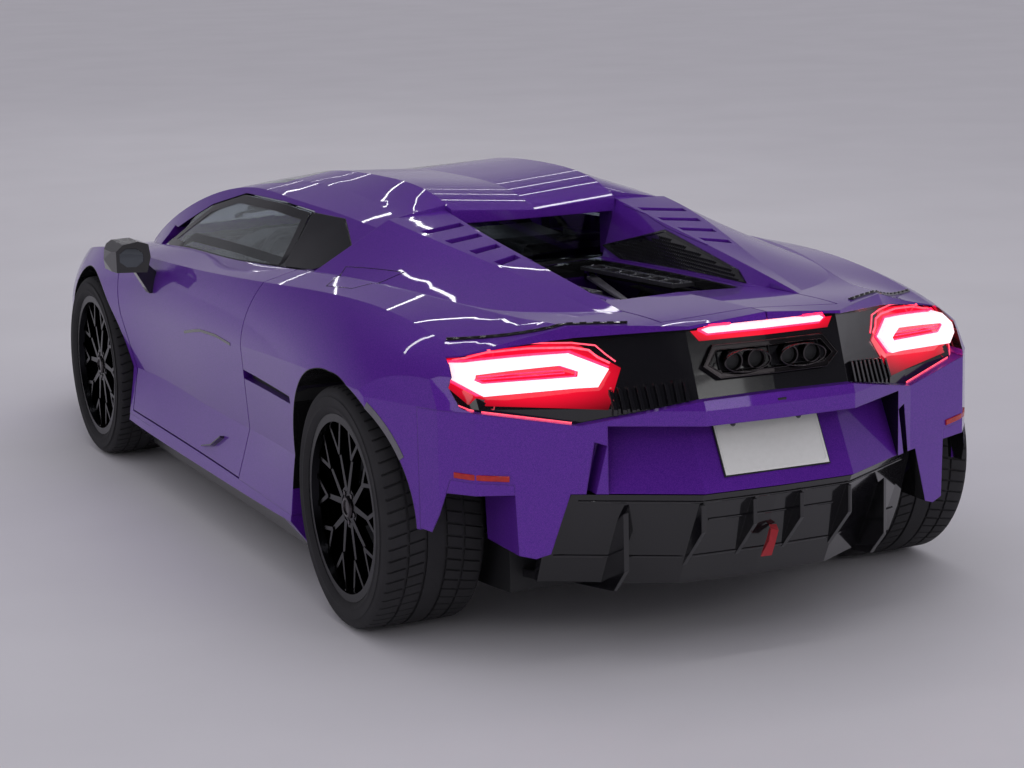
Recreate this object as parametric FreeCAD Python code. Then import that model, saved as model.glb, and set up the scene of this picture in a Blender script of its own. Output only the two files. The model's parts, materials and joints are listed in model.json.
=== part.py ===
"""Two-seat mid-engined sports car, as an assembly of separate panels, glass, wheels and running gear.

Frame: millimetres, +Z up, -Y towards the nose, +X towards the car's left side.
Origin: on the ground, under the middle of the car's overall length and width.
Everything is drawn as its left half, on the +X side. Pairs are that half and its mirror image,
and pieces that cross the middle are both halves joined.
"""

import FreeCAD, Part

import math
import os

V = FreeCAD.Vector
OUT = "parts"
os.makedirs(OUT, exist_ok=True)

# Overall size
length = 4706.0
wheelbase = 2658.0
rear_overhang = 900.0

nose_y = -length / 2
tail_y = length / 2
rear_axle_y = tail_y - rear_overhang
front_axle_y = rear_axle_y - wheelbase
beyond_x = 1100.0
beyond_z = 1400.0

# Tyres, rims and where they stand
front_tyre_width = 255.0
front_tyre_radius = 343.0
front_rim_radius = 268.0
rear_tyre_width = 325.0
rear_tyre_radius = 364.0
rear_rim_radius = 281.0
front_half_track = 857.0
rear_half_track = 824.0
front_arch_radius = 382.0
rear_arch_radius = 408.0
rear_arch_lead = 45.0
fin_root_x = 872.0
fin_tip_z = 385.0
front_well_inner_x = 520.0
rear_well_inner_x = 625.0

# Hubs, brakes and kingpins, measured along the axle outwards from the wheel's middle plane
kingpin_inset = 30.0
stub_radius = 28.0
front_stub_end = 70.0
rear_stub_end = 95.0
hub_radius = 62.0
disc_inner_x = -4.0
disc_outer_x = 28.0
bell_outer_x = 46.0
front_disc_radius = 205.0
rear_disc_radius = 195.0
caliper_gap = 6.0
ball_joint_height = 142.0
ball_joint_radius = 15.0
ball_joint_half = 13.0
pin_radius = 6.0
half_shaft_radius = 16.0
eye_radius = 12.0

# Clearances and thicknesses
shut_gap = 5.0
seat_gap = 0.3
lid_thickness = 30.0
glass_thickness = 6.0
roof_thickness = 38.0

# Cabin, luggage tub and engine bay
floor_top_z = 172.0
cabin_half_width = 775.0
cabin_front_y = -880.0
cabin_rear_y = 600.0
footwell_front_y = -780.0
footwell_half_width = 490.0
footwell_roof_z = 600.0
tub_half_width = 455.0
tub_front_y = -1860.0
tub_rear_y = -1250.0
tub_floor_z = 330.0
bay_half_width = 430.0
bay_front_y = 720.0
bay_rear_y = 1960.0
bay_floor_z = 300.0
bay_top_z = 860.0

# Bonnet, with a gutter for its hinges between it and the windscreen
bonnet_front_y = -2040.0
bonnet_rear_y = -1190.0
bonnet_front_half = 400.0
bonnet_rear_half = 640.0
gutter_width = 42.0
gutter_depth = 55.0

# Engine lid: a U frame whose rails run beside the open engine
lid_front_y = 750.0
lid_rear_y = 2170.0
opening_front_y = 800.0
opening_rear_y = 1750.0
opening_half_width = 195.0
lid_rail_half_width = 225.0
lid_tail_half_width = 280.0

# Lid hinges: how far the eyes hang below the skin, and where they stand across the car
hinge_drop = 18.0
bonnet_hinge_x = 520.0
engine_lid_hinge_x = 205.0

# Door: hinge axis, shut lines and belt
door_hinge_x = 895.0
door_hinge_y = -725.0
door_bottom_z = 245.0
door_top_z = 960.0
door_rear_low_y = 425.0
door_rear_high_y = 592.0
door_draft = 0.12
door_swing = 50.0
# Nose of the door: height, distance of its skin from the car's middle, reach ahead of the hinge
DOOR_NOSE = [
    (245, 958, 50),
    (390, 930, 60),
    (600, 972, 100),
    (960, 940, 140),
]
door_hinge_heights = (385.0, 575.0)
door_arm_root = (735.0, -800.0)
pane_reach = 136.0
dash_half_width = 735.0

# Upper body
rear_window_y = 640.0
rear_window_half = 285.0
rear_window_low_z = 905.0
rear_window_high_z = 1066.0
quarter_front_y = 597.0
roof_rear_y = 700.0
roof_lip_y = 748.0
buttress_wall_lean = 68.0
valley_wall_z = 880.0

# Louvre slots in the buttress tops: where they lie along the car, and their inner and outer ends
louvre_places = (880.0, 1020.0, 1160.0, 1300.0)
louvre_length = 42.0
louvre_depth = 20.0
louvre_inner_x = 318.0
louvre_outer = (470.0, 880.0, 0.152)
louvre_slant = 36.0
insert_thickness = 4.0
# Perforated panel on the buttress's inner wall and black panel behind the side glass, as (y, z)
MESH_PANEL = [(734, 952), (1097, 1046), (1598, 985), (1697, 945), (1255, 925), (920, 915)]
SAIL_PANEL = [(222, 1069), (460, 1074), (775, 993), (446, 884)]

# Slotted rails along the sides of the open engine
grille_low_z = 893.0
grille_rise = 32.0
grille_front_y = 830.0
grille_rear_y = 1480.0
grille_inner_x = 120.0

# Air intakes: in the nose, seen from ahead as (x, z), and behind the doors, in plan as (x, y)
NOSE_INTAKE = [(330, 230), (520, 235), (545, 330), (520, 450), (420, 425), (345, 330)]
NOSE_CENTRE_INTAKE = [(0, 215), (300, 215), (280, 300), (0, 300)]
SIDE_INTAKE_PLAN = [(922, 500), (1010, 500), (1010, 1045), (942, 1045)]
SIDE_INTAKE_SIDE = [(500, 590), (1040, 602), (1040, 626), (500, 622)]
intake_blade_heights = (262.0, 306.0, 350.0, 394.0)

# Tail
tail_low_z = 740.0
tail_mid_z = 828.0
tail_high_z = 950.0
tail_wall = 45.0
tail_recess = 30.0
bumper_wall = 150.0
plate_centre = (2282.5, 617.7)
plate_tilt = 29.5
plate_panel_half = 468.0
plate_panel_top_z = 697.0
SIDE_SLOT = [(470, 642), (500, 652), (522, 500), (500, 495)]
slat_first_x = 262.0
slat_pitch = 22.0
slat_width = 9.0
slat_count = 9
slat_top_z = 815.0
slat_proud = 14.0
band_front_y = 1875.0
bumper_under_z = 505.0

# Jacking pads under the floor, and the thread for the towing eye in the nose
jack_pad_z = 112.0
jack_pad_places = (-640.0, 480.0)
tow_thread_radius = 9.0
tow_thread_depth = 45.0
tow_thread_place = (300.0, 400.0)

# Cabin fittings
seat_centre_x = 370.0
seat_half_width = 255.0
steering_wheel_radius = 165.0
steering_wheel_y = -475.0
steering_wheel_z = 757.0
column_rake = 19.0

# Lower body. Half sections from nose to tail: (x, z) where each lengthwise line crosses them.
HULL_ROWS = [
    # y,     keel,       sill,       tuck,       crease,     shoulder,   deck,       centre
    (-2353, (500, 175), (560, 240), (580, 350), (570, 450), (500, 530), (320, 556), (0, 562)),
    (-2200, (700, 150), (765, 220), (775, 340), (760, 450), (690, 580), (450, 612), (0, 615)),
    (-1900, (800, 130), (860, 215), (878, 345), (868, 480), (790, 655), (560, 680), (0, 680)),
    (-1550, (880, 122), (945, 210), (960, 360), (955, 520), (880, 742), (650, 750), (0, 742)),
    (-1205, (885, 118), (955, 205), (972, 380), (988, 570), (925, 798), (710, 800), (0, 800)),
    (-750, (890, 118), (962, 200), (925, 400), (968, 615), (930, 832), (770, 856), (0, 850)),
    (0, (895, 118), (965, 200), (915, 400), (960, 665), (922, 872), (790, 895), (0, 880)),
    (700, (900, 118), (972, 210), (935, 420), (975, 715), (885, 918), (770, 948), (0, 900)),
    (1453, (890, 130), (962, 250), (975, 450), (998, 757), (800, 936), (640, 958), (0, 945)),
    (1850, (850, 160), (905, 300), (925, 480), (940, 742), (777, 888), (540, 948), (0, 968)),
    (2380, (740, 220), (790, 360), (810, 500), (815, 720), (690, 825), (420, 915), (0, 985)),
]
shoulder_edge = 3
shoulder_bulge = 0.09

# Cabin top. Half sections from windscreen to rear window: the roof is a double bubble.
ROOF_ROWS = [
    # y,     base,       rail,        crease,      ridge,       centre
    (-1130, (760, 760), (735, 822), (520, 838), (300, 845), (0, 847)),
    (-800, (850, 780), (650, 1003), (480, 1012), (310, 1018), (0, 1018)),
    (-400, (870, 800), (575, 1086), (462, 1108), (320, 1124), (0, 1112)),
    (-50, (875, 815), (568, 1088), (445, 1125), (322, 1160), (0, 1138)),
    (250, (872, 825), (556, 1084), (434, 1123), (312, 1170), (0, 1146)),
    (560, (868, 840), (545, 1076), (450, 1108), (300, 1156), (0, 1134)),
    (760, (862, 850), (538, 1068), (480, 1090), (290, 1106), (0, 1088)),
]

# Buttress behind the roof: inner top, outer top and foot
BUTTRESS_ROWS = [
    (700, (300, 1110), (500, 1094), (800, 925)),
    (1000, (303, 1072), (472, 1066), (770, 935)),
    (1453, (299, 1022), (395, 1012), (690, 945)),
    (2150, (285, 930), (335, 925), (520, 850)),
]

# Tail outline in plan: at the bumper's edge, at the lamps' middle and at the deck's edge
TAIL_LOW = [(0, 2353), (237, 2345), (536, 2165), (798, 2043), (868, 1950), (1040, 1520), (1040, -2600)]
TAIL_MIDDLE = [(0, 2319), (238, 2310), (521, 2117), (800, 1990), (866, 1890), (1040, 1428), (1040, -2600)]
TAIL_HIGH = [(0, 2272), (240, 2262), (500, 2050), (782, 1748), (846, 1670), (1040, 1300), (1040, -2600)]

# Half outlines seen from behind, as (x, z): the lamp panel's recess, the bumper with its two
# fins, and the dark centre between the fins
LAMP_RECESS = [
    (0, 770), (236, 766), (535, 698), (796, 738), (822, 750), (834, 800), (806, 868), (500, 925), (200, 958),
    (0, 960),
]
BUMPER_REAR = [
    (0, 505), (560, 505), (612, 335), (650, 322), (692, 332), (700, 535), (845, 545), (880, 385),
    (935, 400), (1010, 600), (1010, 738), (796, 738), (535, 698), (236, 766), (0, 770),
]
DIFFUSER_REAR = [(0, 205), (585, 215), (588, 300), (552, 500), (0, 500)]
diffuser_levels = [(205, 175), (505, 15)]
diffuser_wall = 28.0
diffuser_fins = (75, 235, 420)

# Tail lamp: outer and inner corners of its six-sided ring
LAMP_OUTER = [(438, 847), (514, 882), (798, 852), (815, 818), (760, 780), (474, 800)]
LAMP_INNER = [(502, 836), (550, 854), (765, 834), (775, 822), (746, 807), (507, 822)]
lamp_proud = 26.0
EXHAUST_FRAME = [(0, 818), (168, 818), (212, 852), (174, 903), (0, 903)]
EXHAUST_HOLE = [(0, 830), (160, 830), (196, 853), (166, 891), (0, 891)]
exhaust_pipes = ((52.0, 860.0), (124.0, 860.0))
exhaust_pipe_radius = 28.0
BRAKE_BAR = [(0, 936), (178, 936), (192, 945), (178, 954), (0, 954)]

# Windscreen in plan, and side glass from the side
WINDSCREEN = [(0, -1085), (650, -1062), (600, -800), (520, -400), (492, -290), (0, -255)]
SIDE_WINDOW = [(-905, 760), (-870, 870), (-640, 1000), (-420, 1060), (-60, 1070), (205, 1067), (430, 890),
               (430, 760)]


def save(name, shape):
    """Writes one node."""
    shape.exportStep(os.path.join(OUT, name + ".step"))


def mirrored(shape):
    return shape.mirror(V(0, 0, 0), V(1, 0, 0))


def pair(shape):
    """A piece and its mirror image, which don't touch."""
    return Part.makeCompound([shape, mirrored(shape)])


def whole(half):
    """A piece that crosses the middle, from its left half."""
    return half.fuse(mirrored(half)).Solids[0]


def block(x0, x1, y0, y1, z0, z1):
    return Part.makeBox(x1 - x0, y1 - y0, z1 - z0, V(x0, y0, z0))


def polygon(points):
    corners = [V(*p) for p in points]
    return Part.Face(Part.makePolygon(corners + [corners[0]]))


def plan_prism(outline, z0, z1):
    """Outline of (x, y) corners, standing from z0 to z1."""
    return polygon([(x, y, z0) for x, y in outline]).extrude(V(0, 0, z1 - z0))


def side_prism(outline, x0, x1):
    """Outline of (y, z) corners, from x0 to x1."""
    return polygon([(x0, y, z) for y, z in outline]).extrude(V(x1 - x0, 0, 0))


def rear_prism(outline, y0, y1):
    """Outline of (x, z) corners, from y0 to y1."""
    return polygon([(x, y0, z) for x, z in outline]).extrude(V(0, y1 - y0, 0))


def turned(profile):
    """Profile of (x, radius) corners, turned about the X axis."""
    return polygon([(x, 0, r) for x, r in profile]).revolve(V(0, 0, 0), V(1, 0, 0), 360)


def cross_cylinder(x0, x1, y, z, radius):
    return Part.makeCylinder(radius, x1 - x0, V(x0, y, z), V(1, 0, 0))


def biggest(shape):
    return max(shape.Solids, key=lambda s: s.Volume)


def half_section(y, corners, bulged_edge, bulge):
    """Closed wire at y: down the middle, and out round the corners. One edge may be an arc, whose
    rise is the given share of its chord."""
    low = V(0, y, corners[0][1])
    edges = [Part.LineSegment(low, V(corners[0][0], y, corners[0][1])).toShape()]
    for k in range(len(corners) - 1):
        a = V(corners[k][0], y, corners[k][1])
        b = V(corners[k + 1][0], y, corners[k + 1][1])
        if k == bulged_edge:
            out = V((b - a).z, 0, -(b - a).x).normalize()
            edges.append(Part.Arc(a, (a + b) * 0.5 + out * bulge * (b - a).Length, b).toShape())
        else:
            edges.append(Part.LineSegment(a, b).toShape())
    edges.append(Part.LineSegment(b, low).toShape())
    return Part.Wire(edges)


def lofted(rows, bulged_edge=None, bulge=0.0):
    wires = [half_section(row[0], row[1:], bulged_edge, bulge) for row in rows]
    return Part.makeLoft(wires, True, False)


def make_cabin_hollow():
    """The room inside: under the roof, and down to the floor between the doors."""
    rows = []
    for y, base, rail, crease, ridge, centre in ROOF_ROWS:
        rows.append((
            y,
            (base[0] - roof_thickness, base[1] - 60),
            (rail[0] - roof_thickness, rail[1] - roof_thickness),
            (crease[0] - roof_thickness / 2, crease[1] - roof_thickness),
            (ridge[0], ridge[1] - roof_thickness),
            (0, centre[1] - roof_thickness),
        ))
    under_roof = lofted(rows).common(block(0, beyond_x, nose_y, rear_window_y, 0, beyond_z))
    room = [
        block(0, cabin_half_width, footwell_front_y, cabin_rear_y, floor_top_z, 905),
        block(0, footwell_half_width, cabin_front_y, footwell_front_y, floor_top_z, 905),
        block(0, cabin_half_width, cabin_front_y, footwell_front_y, footwell_roof_z, 905),
    ]
    return under_roof.fuse(room)


def make_tail_envelope(inset=0.0):
    """What lies ahead of the car's rear faces, which lean forwards above the bumper's edge."""
    rise = (beyond_z - tail_mid_z) / (tail_high_z - tail_mid_z)
    low, middle, top = [], [], []
    for (xa, ya), (xb, yb), (xc, yc) in zip(TAIL_LOW, TAIL_MIDDLE, TAIL_HIGH):
        dx = inset if xa > 700 else 0
        dy = inset if ya > 0 else 0
        low.append((xa - dx, ya - dy))
        middle.append((xb - dx, yb - dy))
        top.append((xb - dx + (xc - xb) * rise, yb - dy + (yc - yb) * rise))
    shapes = [plan_prism(low + [(0, low[-1][1])], 0, tail_low_z)]
    wires = []
    for outline, z in ((low, tail_low_z), (middle, tail_mid_z), (top, beyond_z)):
        points = [V(x, y, z) for x, y in outline + [(0, outline[-1][1])]]
        wires.append(Part.makePolygon(points + [points[0]]))
    shapes.append(Part.makeLoft(wires[:2], True, True))
    return Part.makeLoft(wires[1:], True, True).fuse(shapes)


def leaning_tail(levels):
    """What lies ahead of the tail's outline drawn in by an inset, for two levels of (height, inset)."""
    wires = []
    for z, inset in levels:
        points = [V(x, y - inset, z) for x, y in TAIL_LOW[:4]] + [V(798, 1500, z), V(0, 1500, z)]
        wires.append(Part.makePolygon(points + [points[0]]))
    return Part.makeLoft(wires, True, True)


def make_wheel_wells():
    """The two arches, open to the outside, and the space behind the rear tyre, open under the bumper."""
    wells = []
    for axle_y, radius, arch, inner in (
        (front_axle_y, front_tyre_radius, front_arch_radius, front_well_inner_x),
        (rear_axle_y, rear_tyre_radius, rear_arch_radius, rear_well_inner_x),
    ):
        wells.append(cross_cylinder(inner, beyond_x, axle_y, radius, arch))
        wells.append(block(inner, beyond_x, axle_y - arch, axle_y + arch, 0, radius))
    wells.append(cross_cylinder(rear_well_inner_x, beyond_x, rear_axle_y - rear_arch_lead, rear_tyre_radius,
                                rear_arch_radius))
    wells.append(block(rear_well_inner_x, beyond_x, rear_axle_y - rear_arch_radius - rear_arch_lead,
                       rear_axle_y, 0, rear_tyre_radius))
    wells.append(block(rear_well_inner_x, fin_root_x, rear_axle_y, band_front_y, 0, bumper_under_z))
    wells.append(block(rear_well_inner_x, beyond_x, rear_axle_y, band_front_y, 0, fin_tip_z))
    return wells[0].fuse(wells[1:])


def make_buttress():
    """The flying buttress from the roof's rear corner to the tail."""
    wires = []
    for y, inner, outer, foot in BUTTRESS_ROWS:
        wall_x = inner[0] - buttress_wall_lean
        corners = [inner, outer, foot, (foot[0], foot[1] - 120), (wall_x, foot[1] - 120)]
        corners.append((wall_x, min(valley_wall_z, inner[1] - 60)))
        points = [V(x, y, z) for x, z in corners]
        wires.append(Part.makePolygon(points + [points[0]]))
    return Part.makeLoft(wires, True, False)


def louvre(y, inset=0.0):
    """One slanting slot across a buttress's top, as an upright prism."""
    x0 = louvre_inner_x + inset
    low, high = y - louvre_length / 2 + inset, y + louvre_length / 2 - inset
    outer = []
    for v in (low + louvre_slant, high + louvre_slant):
        outer.append((louvre_outer[0] - louvre_outer[2] * (v - louvre_outer[1]) - inset, v))
    return plan_prism([(x0, low), outer[0], outer[1], (x0, high)], 700, beyond_z)


def top_skin(shape, region, depth):
    """The part of the shape's top inside the region, as a panel of the given depth."""
    return shape.common(region).cut(shape.translated(V(0, 0, -depth)))


def bonnet_outline(extra=0.0):
    return [
        (0, bonnet_front_y - extra),
        (bonnet_front_half + extra, bonnet_front_y + 20 - extra),
        (bonnet_rear_half + extra, bonnet_rear_y),
        (bonnet_rear_half + extra, bonnet_rear_y + (gutter_width if extra else 0)),
        (0, bonnet_rear_y + (gutter_width if extra else 0)),
    ]


def engine_lid_outline(extra=0.0):
    front_y = lid_front_y - (gutter_width if extra else 0)
    return [
        (0, front_y),
        (lid_rail_half_width + extra, front_y),
        (lid_rail_half_width + extra, opening_rear_y - 30),
        (lid_tail_half_width + extra, opening_rear_y + 40),
        (lid_tail_half_width + extra, lid_rear_y + extra),
        (0, lid_rear_y + extra),
    ]


def door_nose(extra=0.0):
    """The door's front end, round its hinge axis, so that it turns in its pocket."""
    low_z, high_z = DOOR_NOSE[0][0] - extra, DOOR_NOSE[-1][0] + extra
    points = [V(0, 0, low_z)]
    for k, (z, skin_x, reach) in enumerate(DOOR_NOSE):
        z_here = low_z if k == 0 else high_z if k == len(DOOR_NOSE) - 1 else z
        points.append(V(math.hypot(skin_x - door_hinge_x, reach) + extra, 0, z_here))
    points.append(V(0, 0, high_z))
    nose = Part.Face(Part.makePolygon(points + [points[0]])).revolve(V(0, 0, 0), V(0, 0, 1), 360)
    return nose.translated(V(door_hinge_x, door_hinge_y, 0))


def door_region(extra=0.0):
    """Everything that belongs to the door. extra grows it into the opening in the body."""
    x0 = cabin_half_width - (20 if extra else 0)
    drift = door_draft * (beyond_x - x0)
    lag = door_draft * (x0 - cabin_half_width) + extra
    low_z, high_z = door_bottom_z - extra, door_top_z + extra
    middle_y = door_hinge_y + 125
    outline = [(middle_y, low_z), (door_rear_low_y + lag, low_z), (door_rear_high_y + lag, high_z),
               (middle_y, high_z)]
    slab = polygon([(x0, y, z) for y, z in outline]).extrude(V(beyond_x - x0, drift, 0))
    front = block(x0, beyond_x, door_hinge_y, middle_y + 50, low_z, high_z)
    nose = door_nose(extra).common(block(x0, beyond_x, nose_y, door_hinge_y + 60, 0, beyond_z))
    return slab.fuse([front, nose])


def window_opening(extra):
    """The side window's outline, grown at its top and ends, as the opening between the pillars."""
    outline = []
    for y, z in SIDE_WINDOW:
        dy = 2 * extra if y > 200 else -1.6 * extra if y < -800 else -0.5 * extra if y < 0 else 0
        outline.append((y + dy, z + (extra if z > 860 else 0)))
    return side_prism(outline, 450, 1000)


def lamp_region():
    return rear_prism([(560, 545), (800, 600), (850, 640), (800, 645), (600, 590)], -2300, -1700)


def lid_hinge(x, y, z, towards):
    """Hinge of a lid. Returns the two fixed lugs with their pin, and the lid's eye with its arm.

    towards is +1 where the lid lies behind the hinge and -1 where it lies ahead of it.
    """
    eye_half, lug = 10.0, 8.0
    outer = eye_half + seat_gap + lug
    pin = cross_cylinder(x - outer, x + outer, y, z, pin_radius)
    lugs = []
    for side in (-1, 1):
        inner_face = x + side * (eye_half + seat_gap)
        low, high = sorted((inner_face, inner_face + side * lug))
        lugs.append(cross_cylinder(low, high, y, z, eye_radius))
        lugs.append(block(low, high, y - eye_radius, y + eye_radius, z - hinge_drop - 28, z))
    fixed = pin.fuse(lugs)
    arm_far, arm_near = sorted((y, y + towards * 58))
    eye = cross_cylinder(x - eye_half, x + eye_half, y, z, eye_radius)
    arm = block(x - eye_half, x + eye_half, arm_far, arm_near, z - 6, z + 6)
    riser = block(x - eye_half, x + eye_half, y + towards * 58 - 14, y + towards * 58 + 14, z - 6, z + 8)
    bore = cross_cylinder(x - outer, x + outer, y, z, pin_radius + seat_gap)
    return fixed, eye.fuse([arm, riser]).cut(bore)


def door_hinge(z):
    """Strap hinge inside the door's nose: the pillar's arm with its pin, and the door's two eyes."""
    arm_half = 9.0
    centre = V(door_hinge_x, door_hinge_y, z)
    root = V(door_arm_root[0], door_arm_root[1], z)
    direction = (root - centre).normalize()
    across = V(-direction.y, direction.x, 0) * 8
    corners = [centre + across, root + across, root - across, centre - across]
    arm = polygon([(p.x, p.y, z - arm_half) for p in corners]).extrude(V(0, 0, 2 * arm_half))
    eye = Part.makeCylinder(eye_radius + 2, 2 * arm_half, centre - V(0, 0, arm_half))
    pin = Part.makeCylinder(pin_radius, 2 * arm_half + 48, centre - V(0, 0, arm_half + 24))
    fixed = arm.fuse([eye, pin])
    turn = math.radians(door_swing)
    start = math.atan2(direction.y, direction.x)
    corners = [(start + turn / 2 + math.pi, 40), (start - 0.2, 230), (start + turn / 2, 230),
               (start + turn + 0.2, 230)]
    corners = [(centre.x + r * math.cos(a), centre.y + r * math.sin(a)) for a, r in corners]
    pocket = plan_prism(corners, z - arm_half - 6, z + arm_half + 6)
    eyes = []
    for side in (-1, 1):
        z0 = z + (arm_half + seat_gap if side > 0 else -arm_half - seat_gap - 6)
        eyes.append(Part.makeCylinder(eye_radius + 2, 6, V(centre.x, centre.y, z0)))
    bore = Part.makeCylinder(pin_radius + seat_gap, 2 * arm_half + 60, centre - V(0, 0, arm_half + 30))
    return fixed, pocket, eyes, bore


def tyre(width, radius, rim_radius):
    """A tyre about the X axis, its middle plane at x = 0."""
    half, shoulder = width / 2, 26.0
    bead = half - 14
    return turned([
        (-bead, rim_radius), (-half, rim_radius + 22), (-half, radius - shoulder),
        (-half + shoulder * 0.9, radius - 3), (0, radius), (half - shoulder * 0.9, radius - 3),
        (half, radius - shoulder), (half, rim_radius + 22), (bead, rim_radius),
    ])


def strut(start, end, start_width, end_width, x0, x1):
    """A flat bar from x0 to x1, between two points given as (degrees from upright, radius)."""
    a, b = [FreeCAD.Rotation(V(1, 0, 0), -turn).multVec(V(0, 0, r)) for turn, r in (start, end)]
    along = (b - a).normalize()
    across = V(0, -along.z, along.y)
    a = a - along * 4
    b = b + along * 4
    wa, wb = across * start_width * 0.5, across * end_width * 0.5
    corners = [a + wa, b + wb, b - wb, a - wa]
    return polygon([(x0, p.y, p.z) for p in corners]).extrude(V(x1 - x0, 0, 0))


def rim(width, radius, stub_end):
    """Barrel, hub and ten thin forked spokes about the X axis, the outer face towards +X."""
    half, wall = width / 2 - 12, 14.0
    outer = radius - seat_gap
    lip = outer - 24
    barrel = turned([
        (-half, outer), (half, outer), (half, lip), (half - 22, lip - 6),
        (half - 40, outer - wall - 16), (-half, outer - wall),
    ])
    face_x = half - 16
    pieces = [cross_cylinder(bell_outer_x, face_x - 6, 0, 0, hub_radius)]
    for k in range(5):
        for side in (-1, 1):
            turn = 72 * k + 18 * side
            fork = (turn, radius * 0.58)
            pieces.append(strut((turn - 9 * side, hub_radius - 10), fork, 20, 15, face_x - 30, face_x - 4))
            for splay in (-10.5, 10.5):
                pieces.append(strut(fork, (turn + splay, lip), 13, 11, face_x - 26, face_x))
    bore = cross_cylinder(bell_outer_x - 1, stub_end + 3, 0, 0, stub_radius + seat_gap)
    return biggest(barrel.fuse(pieces).cut(bore))


def brake_disc(radius):
    rotor = cross_cylinder(disc_inner_x, disc_outer_x, 0, 0, radius)
    bell = cross_cylinder(disc_inner_x, bell_outer_x, 0, 0, hub_radius + 20)
    bore = cross_cylinder(disc_inner_x - 1, bell_outer_x + 1, 0, 0, stub_radius + seat_gap)
    return rotor.fuse(bell).cut(bore)


def knuckle(disc_radius, caliper_side, stub_end):
    """Upright, stub axle and brake caliper about the X axis. caliper_side is +1 behind the axle."""
    face = ball_joint_height - ball_joint_half - seat_gap
    flank = disc_inner_x - caliper_gap
    upright = rear_prism([(-88, -60), (-50, -face), (-12, -face), (flank, -60), (flank, 60), (-12, face),
                          (-50, face), (-88, 60)], -34, 34)
    boss = cross_cylinder(-88, flank, 0, 0, 72)
    stub = cross_cylinder(-60, stub_end, 0, 0, stub_radius)
    inner, outer = disc_inner_x - caliper_gap, disc_outer_x + caliper_gap
    caliper = cross_cylinder(inner - 26, outer + 18, 0, 0, disc_radius + 22)
    caliper = caliper.cut(cross_cylinder(inner - 30, outer + 30, 0, 0, disc_radius - 78))
    caliper = caliper.cut(cross_cylinder(inner, outer, 0, 0, disc_radius + caliper_gap))
    reach = caliper_side * 400
    caliper = caliper.common(side_prism([(0, 0), (reach, -170), (reach, 170)], -200, 200))
    near, far = sorted((caliper_side * 30, caliper_side * (disc_radius - 60)))
    bracket = block(inner - 26, inner, near, far, -34, 34)
    return biggest(upright.fuse([boss, stub, caliper, bracket]))


def wishbone(x_in, x_out, y, z, spread, towards_upright):
    """A-shaped arm, from two pivots on the body to a ball joint on the kingpin's axis."""
    legs = []
    for side in (1, -1):
        start, end = V(x_in, y + side * spread, z), V(x_out, y, z)
        legs.append(Part.makeCylinder(12, (end - start).Length, start, end - start))
        legs.append(Part.makeCylinder(24, 50, V(x_in, y + side * spread - 25, z), V(0, 1, 0)))
    ball = Part.makeCylinder(ball_joint_radius, 2 * ball_joint_half, V(x_out, y, z - ball_joint_half))
    return ball.fuse(legs)


def make_arms(axle_y, x_in, x_kingpin, axle_z):
    low = wishbone(x_in, x_kingpin, axle_y, axle_z - ball_joint_height, 105, 1)
    high = wishbone(x_in, x_kingpin, axle_y, axle_z + ball_joint_height, 90, -1)
    clip = block(x_in, beyond_x, axle_y - 400, axle_y + 400, 0, 900)
    return [low.common(clip), high.common(clip)]


def make_engine():
    """V8 with its two plenums, and the gearbox bolted on behind it."""
    bank = [(0, bay_floor_z), (150, bay_floor_z), (190, 430), (330, 640), (230, 720), (0, 720)]
    pieces = [Part.makeCylinder(62, 430, V(105, 870, 770), V(0, 1, 0))]
    for k in range(4):
        pieces.append(cross_cylinder(20, 220, 930 + 105 * k, 715, 26))
    block_half = biggest(rear_prism(bank, 840, 1330).fuse(pieces))
    gearbox = rear_prism([(0, bay_floor_z), (150, bay_floor_z), (170, 520), (0, 520)], 1330 + seat_gap, 1900)
    return Part.makeCompound([whole(block_half), whole(gearbox)])


def make_grille_rail():
    """Slotted rail beside the open engine, rising towards the rear."""
    top = [(grille_front_y, grille_low_z + 12), (grille_rear_y, grille_low_z + grille_rise + 12)]
    low = [(grille_rear_y, grille_low_z + grille_rise), (grille_front_y, grille_low_z)]
    rail = side_prism(top + low, grille_inner_x, opening_half_width)
    count = 6
    pitch = (grille_rear_y - grille_front_y - 30) / count
    for k in range(count):
        y0 = grille_front_y + 30 + pitch * k
        rail = rail.cut(block(grille_inner_x + 16, opening_half_width - 16, y0, y0 + pitch - 22, 850, 1000))
    return rail


def make_seat():
    """Bucket seat: cushion and reclined back in one shell."""
    x0, x1 = seat_centre_x - seat_half_width, seat_centre_x + seat_half_width
    outside = side_prism([(-480, floor_top_z), (150, floor_top_z), (420, 700), (470, 905), (400, 915),
                          (240, 640), (40, 400), (-460, 400)], x0, x1)
    hollow = side_prism([(-500, 340), (-20, 300), (70, 330), (270, 640), (390, 930), (-500, 930)],
                        x0 + 70, x1 - 70)
    return outside.cut(hollow)


def make_dashboard():
    """Dashboard across the cabin, centre console and steering column."""
    dash = side_prism([(cabin_front_y, 610), (-640, 605), (-560, 690), (-600, 790), (cabin_front_y, 800)],
                      -dash_half_width, dash_half_width)
    console = side_prism([(-640, floor_top_z), (420, floor_top_z), (420, 400), (-200, 450), (-580, 640),
                          (-640, 640)], -95, 95)
    lean = V(0, math.cos(math.radians(column_rake)), math.sin(math.radians(column_rake)))
    hub_face = V(seat_centre_x, steering_wheel_y, steering_wheel_z) - lean * (15 + seat_gap)
    column = Part.makeCylinder(24, 170, hub_face, lean * -1)
    return biggest(dash.fuse([console, column]))


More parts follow.
